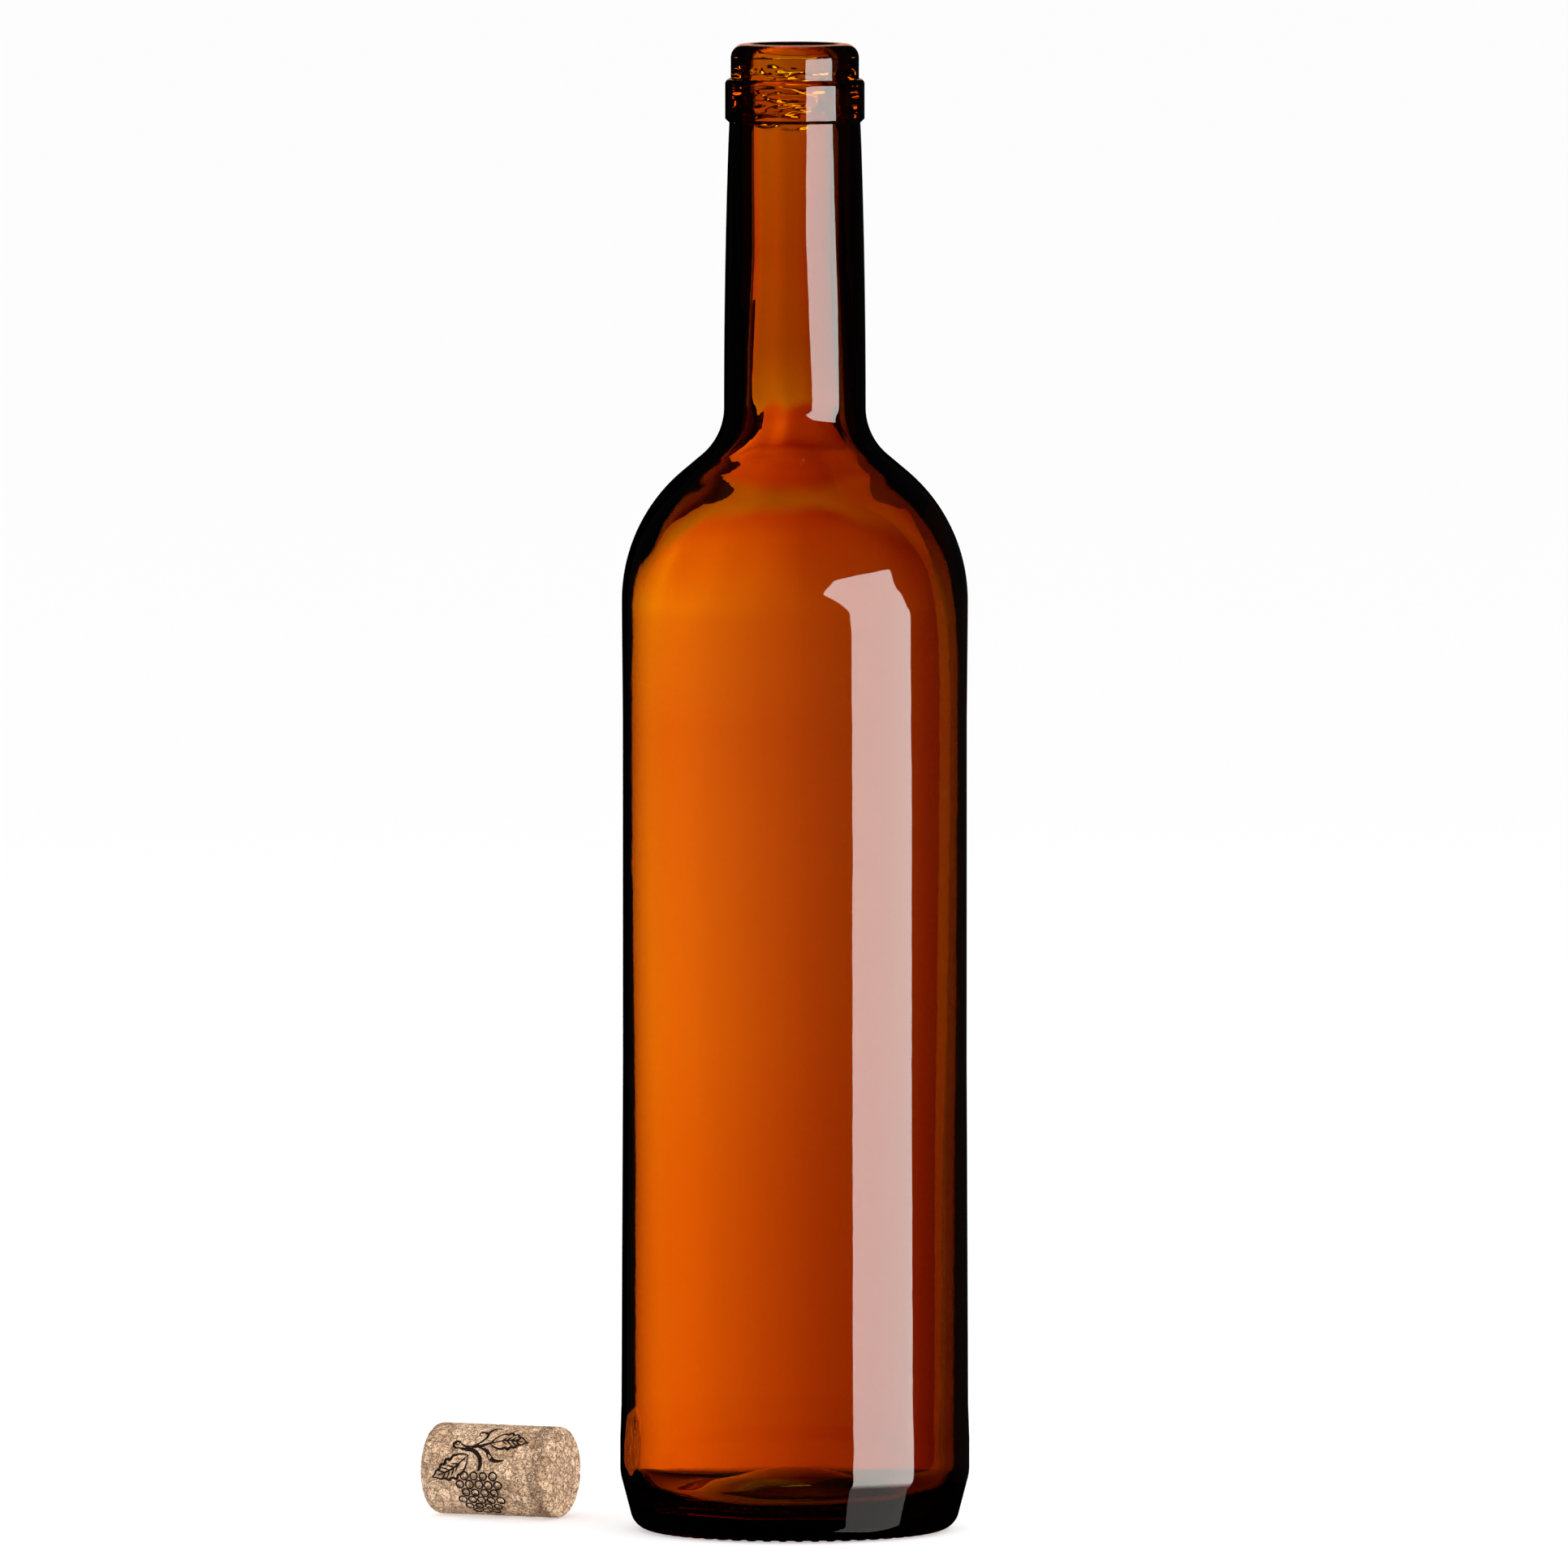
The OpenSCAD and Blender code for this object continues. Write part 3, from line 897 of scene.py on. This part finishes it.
@dataclass
class CorkPrint:
    """A bunch of grapes with a stalk, two leaves and a tendril, drawn in ink round the cork's side."""

    cork: Cork
    turn: float = 5.4
    line: float = 0.56
    grape_line: float = 0.36
    grape_r: float = 1.09
    pitch: float = 2.2
    bunch_left: float = 0.9
    bunch_top: float = -1.5
    bunch_rows: tuple[int, ...] = (4, 5, 4, 5, 4, 3)
    ink_h: float = 0.03 * MM
    ink_depth: float = 0.16 * MM
    finish: PrintInk = field(default_factory=PrintInk)

    def circle(self, centre: Point, r: float, a0: float, a1: float, line: float) -> Stroke:
        """A stroke along part of a circle, tapered at its ends unless it runs all the way round."""
        whole = abs(a1 - a0) >= 360.0

        def way(t: float) -> Point:
            """Place on the circle."""
            a = math.radians(a0 + (a1 - a0) * t)
            return centre[0] + r * math.cos(a), centre[1] + r * math.sin(a)

        def width(t: float) -> float:
            """Width of the line."""
            return line if whole else line * (0.25 + 0.75 * math.sin(math.pi * t))

        return Stroke(way, width, max(8, int(abs(a1 - a0) / 15)), whole)

    def curve(self, knots: list[Point], line: float, swell: float = 0.6) -> Stroke:
        """A stroke along a smooth curve.

        Args:
            knots: Points that the curve passes through.
            line: Width at the thickest place.
            swell: How much thinner the ends are.

        Returns:
            The stroke.
        """
        spans = len(knots) - 1
        ends = [
            (2 * knots[0][0] - knots[1][0], 2 * knots[0][1] - knots[1][1]),
            (2 * knots[-1][0] - knots[-2][0], 2 * knots[-1][1] - knots[-2][1]),
        ]
        held = [ends[0], *knots, ends[1]]

        def way(t: float) -> Point:
            """Place on the curve."""
            k = min(int(t * spans), spans - 1)
            u = t * spans - k
            p = held[k : k + 4]
            weights = (
                -0.5 * u**3 + u**2 - 0.5 * u,
                1.5 * u**3 - 2.5 * u**2 + 1.0,
                -1.5 * u**3 + 2.0 * u**2 + 0.5 * u,
                0.5 * u**3 - 0.5 * u**2,
            )
            return sum(w * q[0] for w, q in zip(weights, p)), sum(w * q[1] for w, q in zip(weights, p))

        def width(t: float) -> float:
            """Width of the line."""
            return line * (1 - swell + swell * math.sin(math.pi * min(max(t, 0.0), 1.0)))

        return Stroke(way, width, 12 * spans)

    def grapes(self) -> list[Stroke]:
        """The grapes, each a ring with a small shine, in rows under the stalk."""
        strokes = []
        for row, count in enumerate(self.bunch_rows):
            for i in range(count):
                sway = 0.12 * noise.noise(Vector((row * 1.7, i * 2.3, 0.5)))
                r = self.grape_r * (1 - 0.16 * abs(noise.noise(Vector((i * 3.1, row * 1.3, 2.5)))))
                right = (i - (count - 1) / 2) * self.pitch + sway - self.bunch_left
                up = self.bunch_top - row * self.pitch * math.sin(math.radians(60.0)) + sway
                strokes.append(self.circle((right, up), r - self.grape_line / 2, 0.0, 360.0, self.grape_line))
                strokes.append(self.circle((right, up), r * 0.4, 200.0, 330.0, self.grape_line * 0.45))
        return strokes

    def leaf(self, root: Point, heading: float, length: float, width: float, veins: int) -> list[Stroke]:
        """A saw-edged leaf.

        Args:
            root: Where the leaf begins.
            heading: Which way it points, in degrees.
            length: Length of the leaf.
            width: Width of the leaf.
            veins: Side veins on each half.

        Returns:
            Its two edges, its rib and its veins.
        """
        a = math.radians(heading)

        def put(along: float, across: float) -> Point:
            """A point of the leaf, bent a little to one side."""
            across += 0.08 * length * math.sin(math.pi * along / length)
            return (
                root[0] + along * math.cos(a) - across * math.sin(a),
                root[1] + along * math.sin(a) + across * math.cos(a),
            )

        def edge(side: float) -> list[Point]:
            """Points of one edge, with teeth towards the tip."""
            out = []
            for i in range(2 * veins + 5):
                t = i / (2 * veins + 4)
                tooth = (0.84 if i % 2 else 1.08) if 0.35 < t < 0.97 else 1.0
                out.append(put(length * t, side * width / 2 * math.sin(math.pi * t**0.8) * tooth))
            return out

        strokes = [self.curve(edge(1.0), self.line), self.curve(edge(-1.0), self.line * 1.15)]
        rib = [put(0.0, 0.0), put(length * 0.45, 0.1), put(length * 0.86, 0.0)]
        strokes.append(self.curve(rib, self.line * 0.8))
        for i in range(veins):
            t = 0.28 + 0.5 * i / veins
            for side in (1.0, -1.0):
                reach = side * width * 0.3 * math.sin(math.pi * t)
                start, end = put(length * t, 0.05), put(length * (t + 0.17), reach)
                strokes.append(self.curve([start, end], self.line * 0.6, 0.7))
        return strokes

    def stalk(self) -> list[Stroke]:
        """The cut end of the vine, the stalk down to the bunch, and a curly tendril."""
        knob = (-6.6, 5.4)
        down = [(-6.1, 4.6), (-4.4, 4.3), (-2.4, 4.0), (-0.8, 2.4), (-0.6, 0.4), (-1.1, -0.4)]
        upper = [(-5.8, 5.6), (-4.2, 4.9), (-2.0, 5.1), (0.4, 5.8), (1.6, 6.6)]
        lower = [(-1.6, 4.9), (0.4, 4.2), (1.6, 2.6), (2.9, 1.9), (4.9, 2.1)]
        curl = [(-3.4, 5.0), (-1.9, 5.7), (-0.6, 7.0), (-0.3, 8.4), (-1.2, 9.2), (-2.3, 8.9), (-2.2, 8.1)]
        tip = [(-0.5, 8.1), (-0.1, 9.6), (0.7, 10.6), (2.2, 10.9)]
        return [
            self.circle(knob, 0.85, 20.0, 300.0, self.line * 1.2),
            self.circle((knob[0], knob[1] + 0.35), 0.4, 0.0, 360.0, self.line * 0.5),
            self.curve(down, self.line * 1.7),
            self.curve(upper, self.line * 1.3),
            self.curve(lower, self.line * 1.8, 0.8),
            self.curve(curl, self.line),
            self.curve(tip, self.line * 1.1, 0.7),
        ]

    def skin(self, right: float, up: float, lift: float) -> Vector:
        """A point on or in the cork's side.

        Args:
            right: Place along the cork, in millimetres.
            up: Distance round the cork above the line that faces the viewer, in millimetres.
            lift: Height over the skin in metres.

        Returns:
            The point in the cork's own axes.
        """
        turn = -math.pi / 2 - math.radians(self.turn) - up * MM / self.cork.radius
        at = Vector((self.cork.radius * math.cos(turn), self.cork.radius * math.sin(turn), right * MM))
        r = self.cork.radius - min(self.cork.dip(at), 0.05 * MM) + lift
        return Vector((r * math.cos(turn), r * math.sin(turn), right * MM))

    def ribbon(self, stroke: Stroke, points: list[Vector], faces: list[Face]) -> None:
        """Adds one stroke as a closed bar of ink.

        Args:
            stroke: The stroke.
            points: Vertices so far, which the stroke adds to.
            faces: Faces so far, which the stroke adds to.
        """
        start, count = len(points), stroke.steps + (0 if stroke.closed else 1)
        for i in range(count):
            t = i / stroke.steps
            x, y = stroke.way(t)
            ahead, behind = stroke.way(t + 0.01), stroke.way(t - 0.01)
            dx, dy = ahead[0] - behind[0], ahead[1] - behind[1]
            size = math.hypot(dx, dy) or 1.0
            half = stroke.width(t) / 2
            nx, ny = -dy / size * half, dx / size * half
            top, foot = self.ink_h, -self.ink_depth
            for side, lift in ((1, top), (-1, top), (-1, foot), (1, foot)):
                points.append(self.skin(x + side * nx, y + side * ny, lift))
        for i in range(count if stroke.closed else count - 1):
            a, b = start + 4 * i, start + 4 * ((i + 1) % count)
            faces += [(a + k, b + k, b + (k + 1) % 4, a + (k + 1) % 4) for k in range(4)]
        if not stroke.closed:
            last = start + 4 * (count - 1)
            faces += [(start, start + 1, start + 2, start + 3), (last + 3, last + 2, last + 1, last)]

    def build(self) -> bpy.types.Object:
        """Builds all strokes as one object.

        Returns:
            The object, lying on the cork.
        """
        strokes = self.grapes() + self.stalk()
        strokes += self.leaf((-3.6, 3.0), 212.0, 9.6, 4.6, 4)
        strokes += self.leaf((0.9, 6.0), 4.0, 8.6, 4.4, 4)
        points: list[Vector] = []
        faces: list[Face] = []
        for stroke in strokes:
            self.ribbon(stroke, points, faces)
        obj = new_mesh_object("cork_print_ink", points, faces, sharp=40.0)
        obj.matrix_world = self.cork.place()
        return obj

    def dress(self, obj: bpy.types.Object, granules: bpy.types.NodeTree, polish: bpy.types.NodeTree) -> None:
        """Gives the ink its material and puts it on its body."""
        obj.data.materials.append(self.finish.material(granules, polish))
        obj.visible_glossy = False
        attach(obj, "cork")
        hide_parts("cork_print")


# ---------------------------------------------------------------------------------------------------------
# The studio
# ---------------------------------------------------------------------------------------------------------


@dataclass
class Studio:
    """Camera, pale floor and soft lights. The glass sees dark flags with lit panels between them."""

    picture: int = 1932
    scale: float = 5800.0
    camera_back: float = 6.0
    camera_height: float = 0.567
    aim_height: float = 0.1588
    aim_left: float = 0.0023
    sensor: float = 36.0
    floor_size: float = 24.0
    floor_gap: float = 0.0001
    floor_pale: float = 0.93
    floor_rough: float = 0.9
    ambient: float = 0.9
    sun: float = 0.7
    side_power: float = 15.0
    backlight_at: float = 0.15
    backlight_left: float = -0.124
    backlight_right: float = 0.062
    backlight_low: float = -0.1
    backlight_high: float = 0.312
    backlight_gain: float = 1.7
    # Place across, then red, green and blue
    body_glow: tuple[Glow, ...] = (
        (-0.124, 1.53, 0.9, 0.4), (-0.0673, 1.56, 0.9, 0.4), (-0.0488, 1.58, 0.87, 0.35),
        (-0.0348, 1.37, 0.6, 0.3), (-0.0214, 1.03, 0.38, 0.2), (-0.0076, 0.766, 0.215, 0.12),
        (0.0048, 0.549, 0.118, 0.08), (0.0124, 0.452, 0.09, 0.06), (0.0399, 0.31, 0.047, 0.03),
        (0.058, 0.17, 0.022, 0.02), (0.08, 0.17, 0.02, 0.02),
    )
    neck_glow: tuple[Glow, ...] = (
        (-0.12, 1.36, 1.3, 0.6), (-0.0655, 1.21, 1.35, 0.6), (-0.0458, 0.94, 1.18, 0.6),
        (-0.021, 0.94, 0.98, 0.5), (-0.0078, 0.712, 0.68, 0.4), (0.0043, 0.697, 0.6, 0.3),
        (0.0276, 0.5, 0.24, 0.2), (0.062, 0.379, 0.14, 0.1),
    )
    # Height, then how far the panel has turned to the neck's colours
    neck_share: tuple[Point, ...] = ((0.228, 0.0), (0.238, 1.0))
    # Height, then the share of red, green and blue that the panel gives there
    rise_share: tuple[Glow, ...] = (
        (0.090, 1.0, 1.0, 1.0), (0.160, 0.9, 0.7, 0.6), (0.185, 0.95, 0.95, 0.8),
        (0.200, 1.05, 1.35, 1.1), (0.222, 1.2, 1.9, 1.3), (0.235, 1.05, 1.3, 1.1),
        (0.250, 0.85, 0.8, 0.7), (0.264, 1.0, 1.0, 1.0), (0.2885, 1.0, 1.0, 1.0),
        (0.2935, 0.0, 0.0, 0.0), (0.3010, 0.0, 0.0, 0.0), (0.3030, 0.8, 0.8, 0.8),
    )
    # Thin bright slots, which only the rippled glass of the mouth bends into view: half width, low, high
    slot_glow: Colour = (4.5, 10.0, 4.5, 1.0)
    slots: dict[str, tuple[float, float, float]] = field(
        default_factory=lambda: {"upper_slot": (0.055, 0.317, 0.328), "middle_slot": (0.026, 0.2950, 0.2982)}
    )
    # A warm card that the flat of the lip mirrors: left, right, back, low, high
    lip_place: tuple[float, float, float, float, float] = (-0.03, 0.028, 0.1, 0.317, 0.55)
    lip_glow: Colour = (1.0, 0.48, 0.33, 1.0)
    # Black cards close behind the bottle, in millimetres right and up
    cards_at: float = 0.052
    base_card: tuple[Point, ...] = (
        (-45.0, -60.0), (-45.0, -9.0), (-33.9, -6.0), (-26.5, -3.5), (-18.9, 0.5), (-8.5, 3.4),
        (3.5, 3.6), (13.9, 2.0), (22.5, -1.5), (29.4, -5.0), (45.0, -9.0), (45.0, -60.0),
    )
    left_card: tuple[Point, ...] = (
        (-12.5, 236.5), (-12.0, 229.5), (-17.0, 228.0), (-21.3, 227.4), (-27.0, 230.0), (-33.0, 230.6),
        (-38.6, 229.6), (-50.0, 231.0), (-70.0, 226.0), (-95.0, 236.0), (-95.0, 262.0), (-36.0, 262.0),
        (-31.0, 239.0), (-22.0, 236.5),
    )
    right_card: tuple[Point, ...] = (
        (18.5, 236.5), (19.3, 231.5), (21.3, 229.0), (24.2, 227.2), (28.0, 227.0), (33.2, 228.9),
        (48.0, 238.0), (64.0, 247.0), (95.0, 262.0), (95.0, 280.0), (38.0, 262.0), (31.0, 239.0),
    )
    strip_at: float = 0.6
    strip_gain: float = 8.7
    strip_colour: Colour = (1.0, 0.965, 0.905, 1.0)
    # Height and angle round the bottle, along the left edge and then the right edge
    strip_left: tuple[Point, ...] = (
        (-0.90, 38.4), (-0.10, 38.2), (0.125, 37.8), (0.148, 37.0), (0.166, 35.2), (0.185, 32.4),
        (0.200, 30.0), (0.219, 27.4), (0.244, 23.0), (0.272, 18.5), (0.295, 19.0), (0.340, 24.0),
        (0.370, 27.0),
    )
    strip_right: tuple[Point, ...] = (
        (-0.90, 83.8), (-0.10, 83.4), (0.120, 83.0), (0.157, 81.4), (0.170, 79.0), (0.195, 77.0),
        (0.219, 75.6), (0.244, 74.2), (0.272, 71.0), (0.30, 69.5), (0.40, 68.5),
    )
    dark_foot: tuple[float, float] = (0.058, 0.082)
    # Least and most faces of glass bent through by light that has simply crossed both walls
    both_walls: tuple[float, float] = (2.5, 5.5)
    through_side: float = 0.75
    through_down: float = 0.5
    through_dark: float = 0.006
    foot_sheen: float = 0.12

    def camera(self) -> None:
        """Sets the camera up in front of the bottle, a little above its base."""
        data = bpy.data.cameras.new("camera")
        cam = bpy.data.objects.new("camera", data)
        bpy.context.scene.collection.objects.link(cam)
        spot = Vector((-self.aim_left, -self.camera_back, self.camera_height))
        aim = Vector((-self.aim_left, 0.0, self.aim_height))
        cam.location = spot
        cam.rotation_euler = (aim - spot).to_track_quat("-Z", "Y").to_euler()
        data.sensor_width = self.sensor
        data.lens = self.sensor * (aim - spot).length * self.scale / self.picture
        data.clip_start, data.clip_end = 0.1, 100.0
        bpy.context.scene.camera = cam

    def any_of(self, graph: Graph, *kinds: Ray) -> Socket:
        """A value of 1 for rays of the kinds named."""
        path = graph.add("ShaderNodeLightPath")
        value = path.outputs[kinds[0].value]
        for kind in kinds[1:]:
            value = graph.math("MAXIMUM", value, path.outputs[kind.value])
        return value

    def depth(self, graph: Graph) -> Socket:
        """How many faces of glass a ray has bent through."""
        return graph.add("ShaderNodeLightPath").outputs["Transmission Depth"]

    def world(self) -> None:
        """A white room for the eye and for soft light, and a dark one for what glass mirrors and bends."""
        world = bpy.data.worlds.new("studio")
        bpy.context.scene.world = world
        world.use_nodes = True
        graph = Graph(world.node_tree)
        shader = next(n for n in world.node_tree.nodes if n.type == "BACKGROUND")
        seen = self.any_of(graph, Ray.CAMERA)
        soft = self.any_of(graph, Ray.DIFFUSE)
        strength = graph.math("ADD", seen, graph.math("MULTIPLY", soft, self.ambient))
        way = graph.axes(graph.add("ShaderNodeTexCoord").outputs["Generated"])
        away = graph.math("MULTIPLY", graph.band(way.outputs["Y"], 0.35, -0.2), self.through_side)
        down = graph.math("MULTIPLY", graph.band(way.outputs["Z"], -0.5, -0.8), self.through_down)
        crossed = graph.math("GREATER_THAN", self.depth(graph), self.both_walls[0])
        past = graph.math("MULTIPLY", crossed, graph.math("MAXIMUM", away, down))
        strength = graph.math("ADD", strength, graph.math("ADD", past, self.through_dark))
        graph.join(strength, shader.inputs["Strength"])
        shader.inputs["Color"].default_value = grey(1.0)

    def floor(self) -> None:
        """A pale floor. Glass sees through it to the foot of the panels, but dark close to the bottle."""
        half = self.floor_size / 2
        corners = [Vector((x * half, y * half, 0)) for x, y in ((-1, -1), (1, -1), (1, 1), (-1, 1))]
        floor = new_mesh_object("floor", corners, [(0, 1, 2, 3)], sharp=180.0)
        floor.location.z = -self.floor_gap
        material, graph, principled, output = new_material("pale_floor")
        principled.inputs["Base Color"].default_value = grey(self.floor_pale)
        principled.inputs["Roughness"].default_value = self.floor_rough
        principled.inputs["Specular IOR Level"].default_value = 0.0
        clear = graph.add("ShaderNodeBsdfTransparent")
        reach = graph.add("ShaderNodeVectorMath", operation="LENGTH")
        graph.join(graph.place(), reach.inputs[0])
        past_foot = graph.band(reach.outputs["Value"], *self.dark_foot)
        away = graph.ramp(past_foot, [(0.0, grey(0.0)), (1.0, grey(1.0))])
        sheen = graph.math("MULTIPLY", self.any_of(graph, Ray.GLOSSY), self.foot_sheen)
        graph.join(graph.math("MAXIMUM", away, sheen), clear.inputs["Color"])
        pick = graph.add("ShaderNodeMixShader")
        graph.join(self.any_of(graph, Ray.TRANSMISSION, Ray.GLOSSY), pick.inputs[0])
        graph.join(principled.outputs[0], pick.inputs[1])
        graph.join(clear.outputs[0], pick.inputs[2])
        graph.join(pick.outputs[0], output.inputs["Surface"])
        floor.data.materials.append(material)

    def panel(
        self,
        name: str,
        corners: list[Vector],
        paint: Callable[[Graph, bpy.types.Node], None],
        through: bool,
        mirrored: bool = True,
    ) -> None:
        """Adds a lit panel that only glass can see.

        Args:
            name: Name of the panel.
            corners: Its outline.
            paint: Sets the light of its Emission node.
            through: Whether glass shows it by bending light.
            mirrored: Whether glass shows it by mirroring light.
        """
        obj = new_mesh_object(name, corners, [tuple(range(len(corners)))], sharp=180.0)
        material, graph, principled, output = new_material(name)
        graph.tree.nodes.remove(principled)
        light = graph.add("ShaderNodeEmission")
        paint(graph, light)
        graph.join(light.outputs[0], output.inputs["Surface"])
        obj.data.materials.append(material)
        obj.visible_camera = False
        obj.visible_diffuse = False
        obj.visible_transmission = through
        obj.visible_glossy = mirrored
        obj.visible_shadow = False

    def backlight(self) -> None:
        """The panel behind the bottle: bright and warm at the left, dim and red at the right."""
        left, right = self.backlight_left, self.backlight_right
        low, high = self.backlight_low, self.backlight_high
        back = self.backlight_at

        def paint(graph: Graph, light: bpy.types.Node) -> None:
            """Colours of the panel, lit only for light that has come through both walls of the glass."""
            axes = graph.axes(graph.place())
            across = graph.band(axes.outputs["X"], left, right)
            rise = graph.band(axes.outputs["Z"], low, high)
            top = self.backlight_gain

            def stops(glow: tuple[Glow, ...]) -> list[tuple[float, Colour]]:
                """Ramp stops from places in metres and colours that may be brighter than 1."""
                wide = right - left
                return [((x - left) / wide, (r / top, g / top, b / top, 1.0)) for x, r, g, b in glow]

            body = graph.ramp(across, stops(self.body_glow))
            neck = graph.ramp(across, stops(self.neck_glow))
            turns = [((z - low) / (high - low), grey(v)) for z, v in self.neck_share]
            fades = [((z - low) / (high - low), (r, g, b, 1.0)) for z, r, g, b in self.rise_share]
            colour = graph.mix(graph.ramp(rise, turns, smooth=True), body, neck)
            colour = graph.mix(1.0, colour, graph.ramp(rise, fades), "MULTIPLY")
            graph.join(colour, light.inputs["Color"])
            least, most = self.both_walls
            depth = self.depth(graph)
            enough = graph.math("GREATER_THAN", depth, least)
            crossed = graph.math("MULTIPLY", enough, graph.math("LESS_THAN", depth, most))
            graph.join(graph.math("MULTIPLY", crossed, top), light.inputs["Strength"])

        self.panel("backlight", self.upright(left, right, back, low, high), paint, through=True)
        for name, (half, foot, head) in self.slots.items():
            slot = self.upright(-half, half, back, foot, head)
            self.panel(name, slot, self.even(self.slot_glow), through=True, mirrored=False)
        self.panel("lip_card", self.upright(*self.lip_place), self.even(self.lip_glow), through=False)

    def even(self, colour: Colour) -> Callable[[Graph, bpy.types.Node], None]:
        """What paints a panel with one even light, whose colour may be brighter than 1."""

        def paint(graph: Graph, light: bpy.types.Node) -> None:
            """Sets the light."""
            top = max(*colour[:3], 1e-6)
            light.inputs["Color"].default_value = tuple(v / top for v in colour[:3]) + (1.0,)
            light.inputs["Strength"].default_value = top

        return paint

    def black_cards(self) -> None:
        """Black cards close behind the bottle, for the dark foot and the dark shapes of the shoulder."""
        cards = (
            ("base_card", self.base_card, 0.25),
            ("left_card", self.left_card, 0.8),
            ("right_card", self.right_card, 0.8),
        )
        for name, shape, edge in cards:
            outline = filled_in([*shape, shape[0]], 0.8)[:-1]
            corners = []
            for x, z in outline:
                stray = noise.noise_vector(Vector((x, z, 3.0)) / 3.1)
                stray += 0.5 * noise.noise_vector(Vector((x, z, 8.0)))
                corners.append(Vector(((x + edge * stray.x) * MM, self.cards_at, (z + edge * stray.y) * MM)))
            self.panel(name, corners, self.even(grey(0.0)), through=True, mirrored=False)

    def upright(self, left: float, right: float, back: float, low: float, high: float) -> list[Vector]:
        """Corners of an upright rectangle behind the bottle."""
        corners = ((left, low), (right, low), (right, high), (left, high))
        return [Vector((x, back, z)) for x, z in corners]

    def strip(self) -> None:
        """The tall softbox at the front right that draws the bright stripe down the bottle."""

        def paint(graph: Graph, light: bpy.types.Node) -> None:
            """An even, slightly warm light."""
            light.inputs["Color"].default_value = self.strip_colour
            light.inputs["Strength"].default_value = self.strip_gain

        def at(azimuth: float, height: float) -> Vector:
            """A corner of the softbox, at an angle round the bottle from the camera's side."""
            a = math.radians(azimuth)
            return Vector((self.strip_at * math.sin(a), -self.strip_at * math.cos(a), height))

        left = [at(a, h) for h, a in self.strip_left]
        right = [at(a, h) for h, a in reversed(self.strip_right)]
        self.panel("strip_softbox", left + right, paint, through=False)

    def lamp(self, name: str, kind: str, spot: Vector, aim: Vector, size: float, power: float) -> None:
        """Adds a soft lamp for the cork and the floor, which glass neither mirrors nor bends.

        Args:
            name: Name of the lamp.
            kind: AREA or SUN.
            spot: Where it hangs.
            aim: What it points at.
            size: Side of its square in metres, or the sun's width in degrees.
            power: Power in watts, or the sun's strength.
        """
        data = bpy.data.lights.new(name, kind)
        data.energy = power
        data.use_shadow = False
        if kind == "AREA":
            data.size = size
        else:
            data.angle = math.radians(size)
        lamp = bpy.data.objects.new(name, data)
        bpy.context.scene.collection.objects.link(lamp)
        lamp.location = spot
        lamp.rotation_euler = (aim - spot).to_track_quat("-Z", "Y").to_euler()
        lamp.visible_camera = False
        lamp.visible_glossy = False
        lamp.visible_transmission = False

    def build(self) -> None:
        """Builds the whole studio."""
        self.camera()
        self.world()
        self.floor()
        self.backlight()
        self.black_cards()
        self.strip()
        aim = Vector((-0.05, 0.0, 0.02))
        self.lamp("key_lamp", "SUN", Vector((-0.7, -0.9, 1.0)), aim, 12.0, self.sun)
        self.lamp("side_lamp", "AREA", Vector((0.9, -0.6, 0.35)), aim, 0.3, self.side_power)
        scene = bpy.context.scene
        scene.view_settings.view_transform = "Standard"
        scene.cycles.max_bounces = 24
        scene.cycles.transmission_bounces = 24
        scene.cycles.glossy_bounces = 12


# ---------------------------------------------------------------------------------------------------------
# All together
# ---------------------------------------------------------------------------------------------------------


def main() -> None:
    """Builds the studio, the bottle, the cork and its print."""
    logging.basicConfig(level=logging.INFO, format="%(name)s: %(message)s")
    Studio().build()
    polish, granules = UnevenPolish().build(), CorkGranules().build()

    bottle = Bottle(height=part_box("bottle")[1].z / MM)
    glass = bottle.build()
    bottle.dress(glass, polish)

    low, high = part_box("cork")
    radius, yaw = (high.z - low.z) / 2, math.radians(Cork.yaw)
    length = (high.x - low.x - 2 * radius * math.sin(yaw)) / math.cos(yaw)
    cork = Cork(middle=(low + high) / 2, radius=radius, length=length)
    body = cork.build()
    cork.dress(body, granules)

    ink = CorkPrint(cork)
    marks = ink.build()
    ink.dress(marks, granules, polish)


if __name__ == "__main__":
    main()
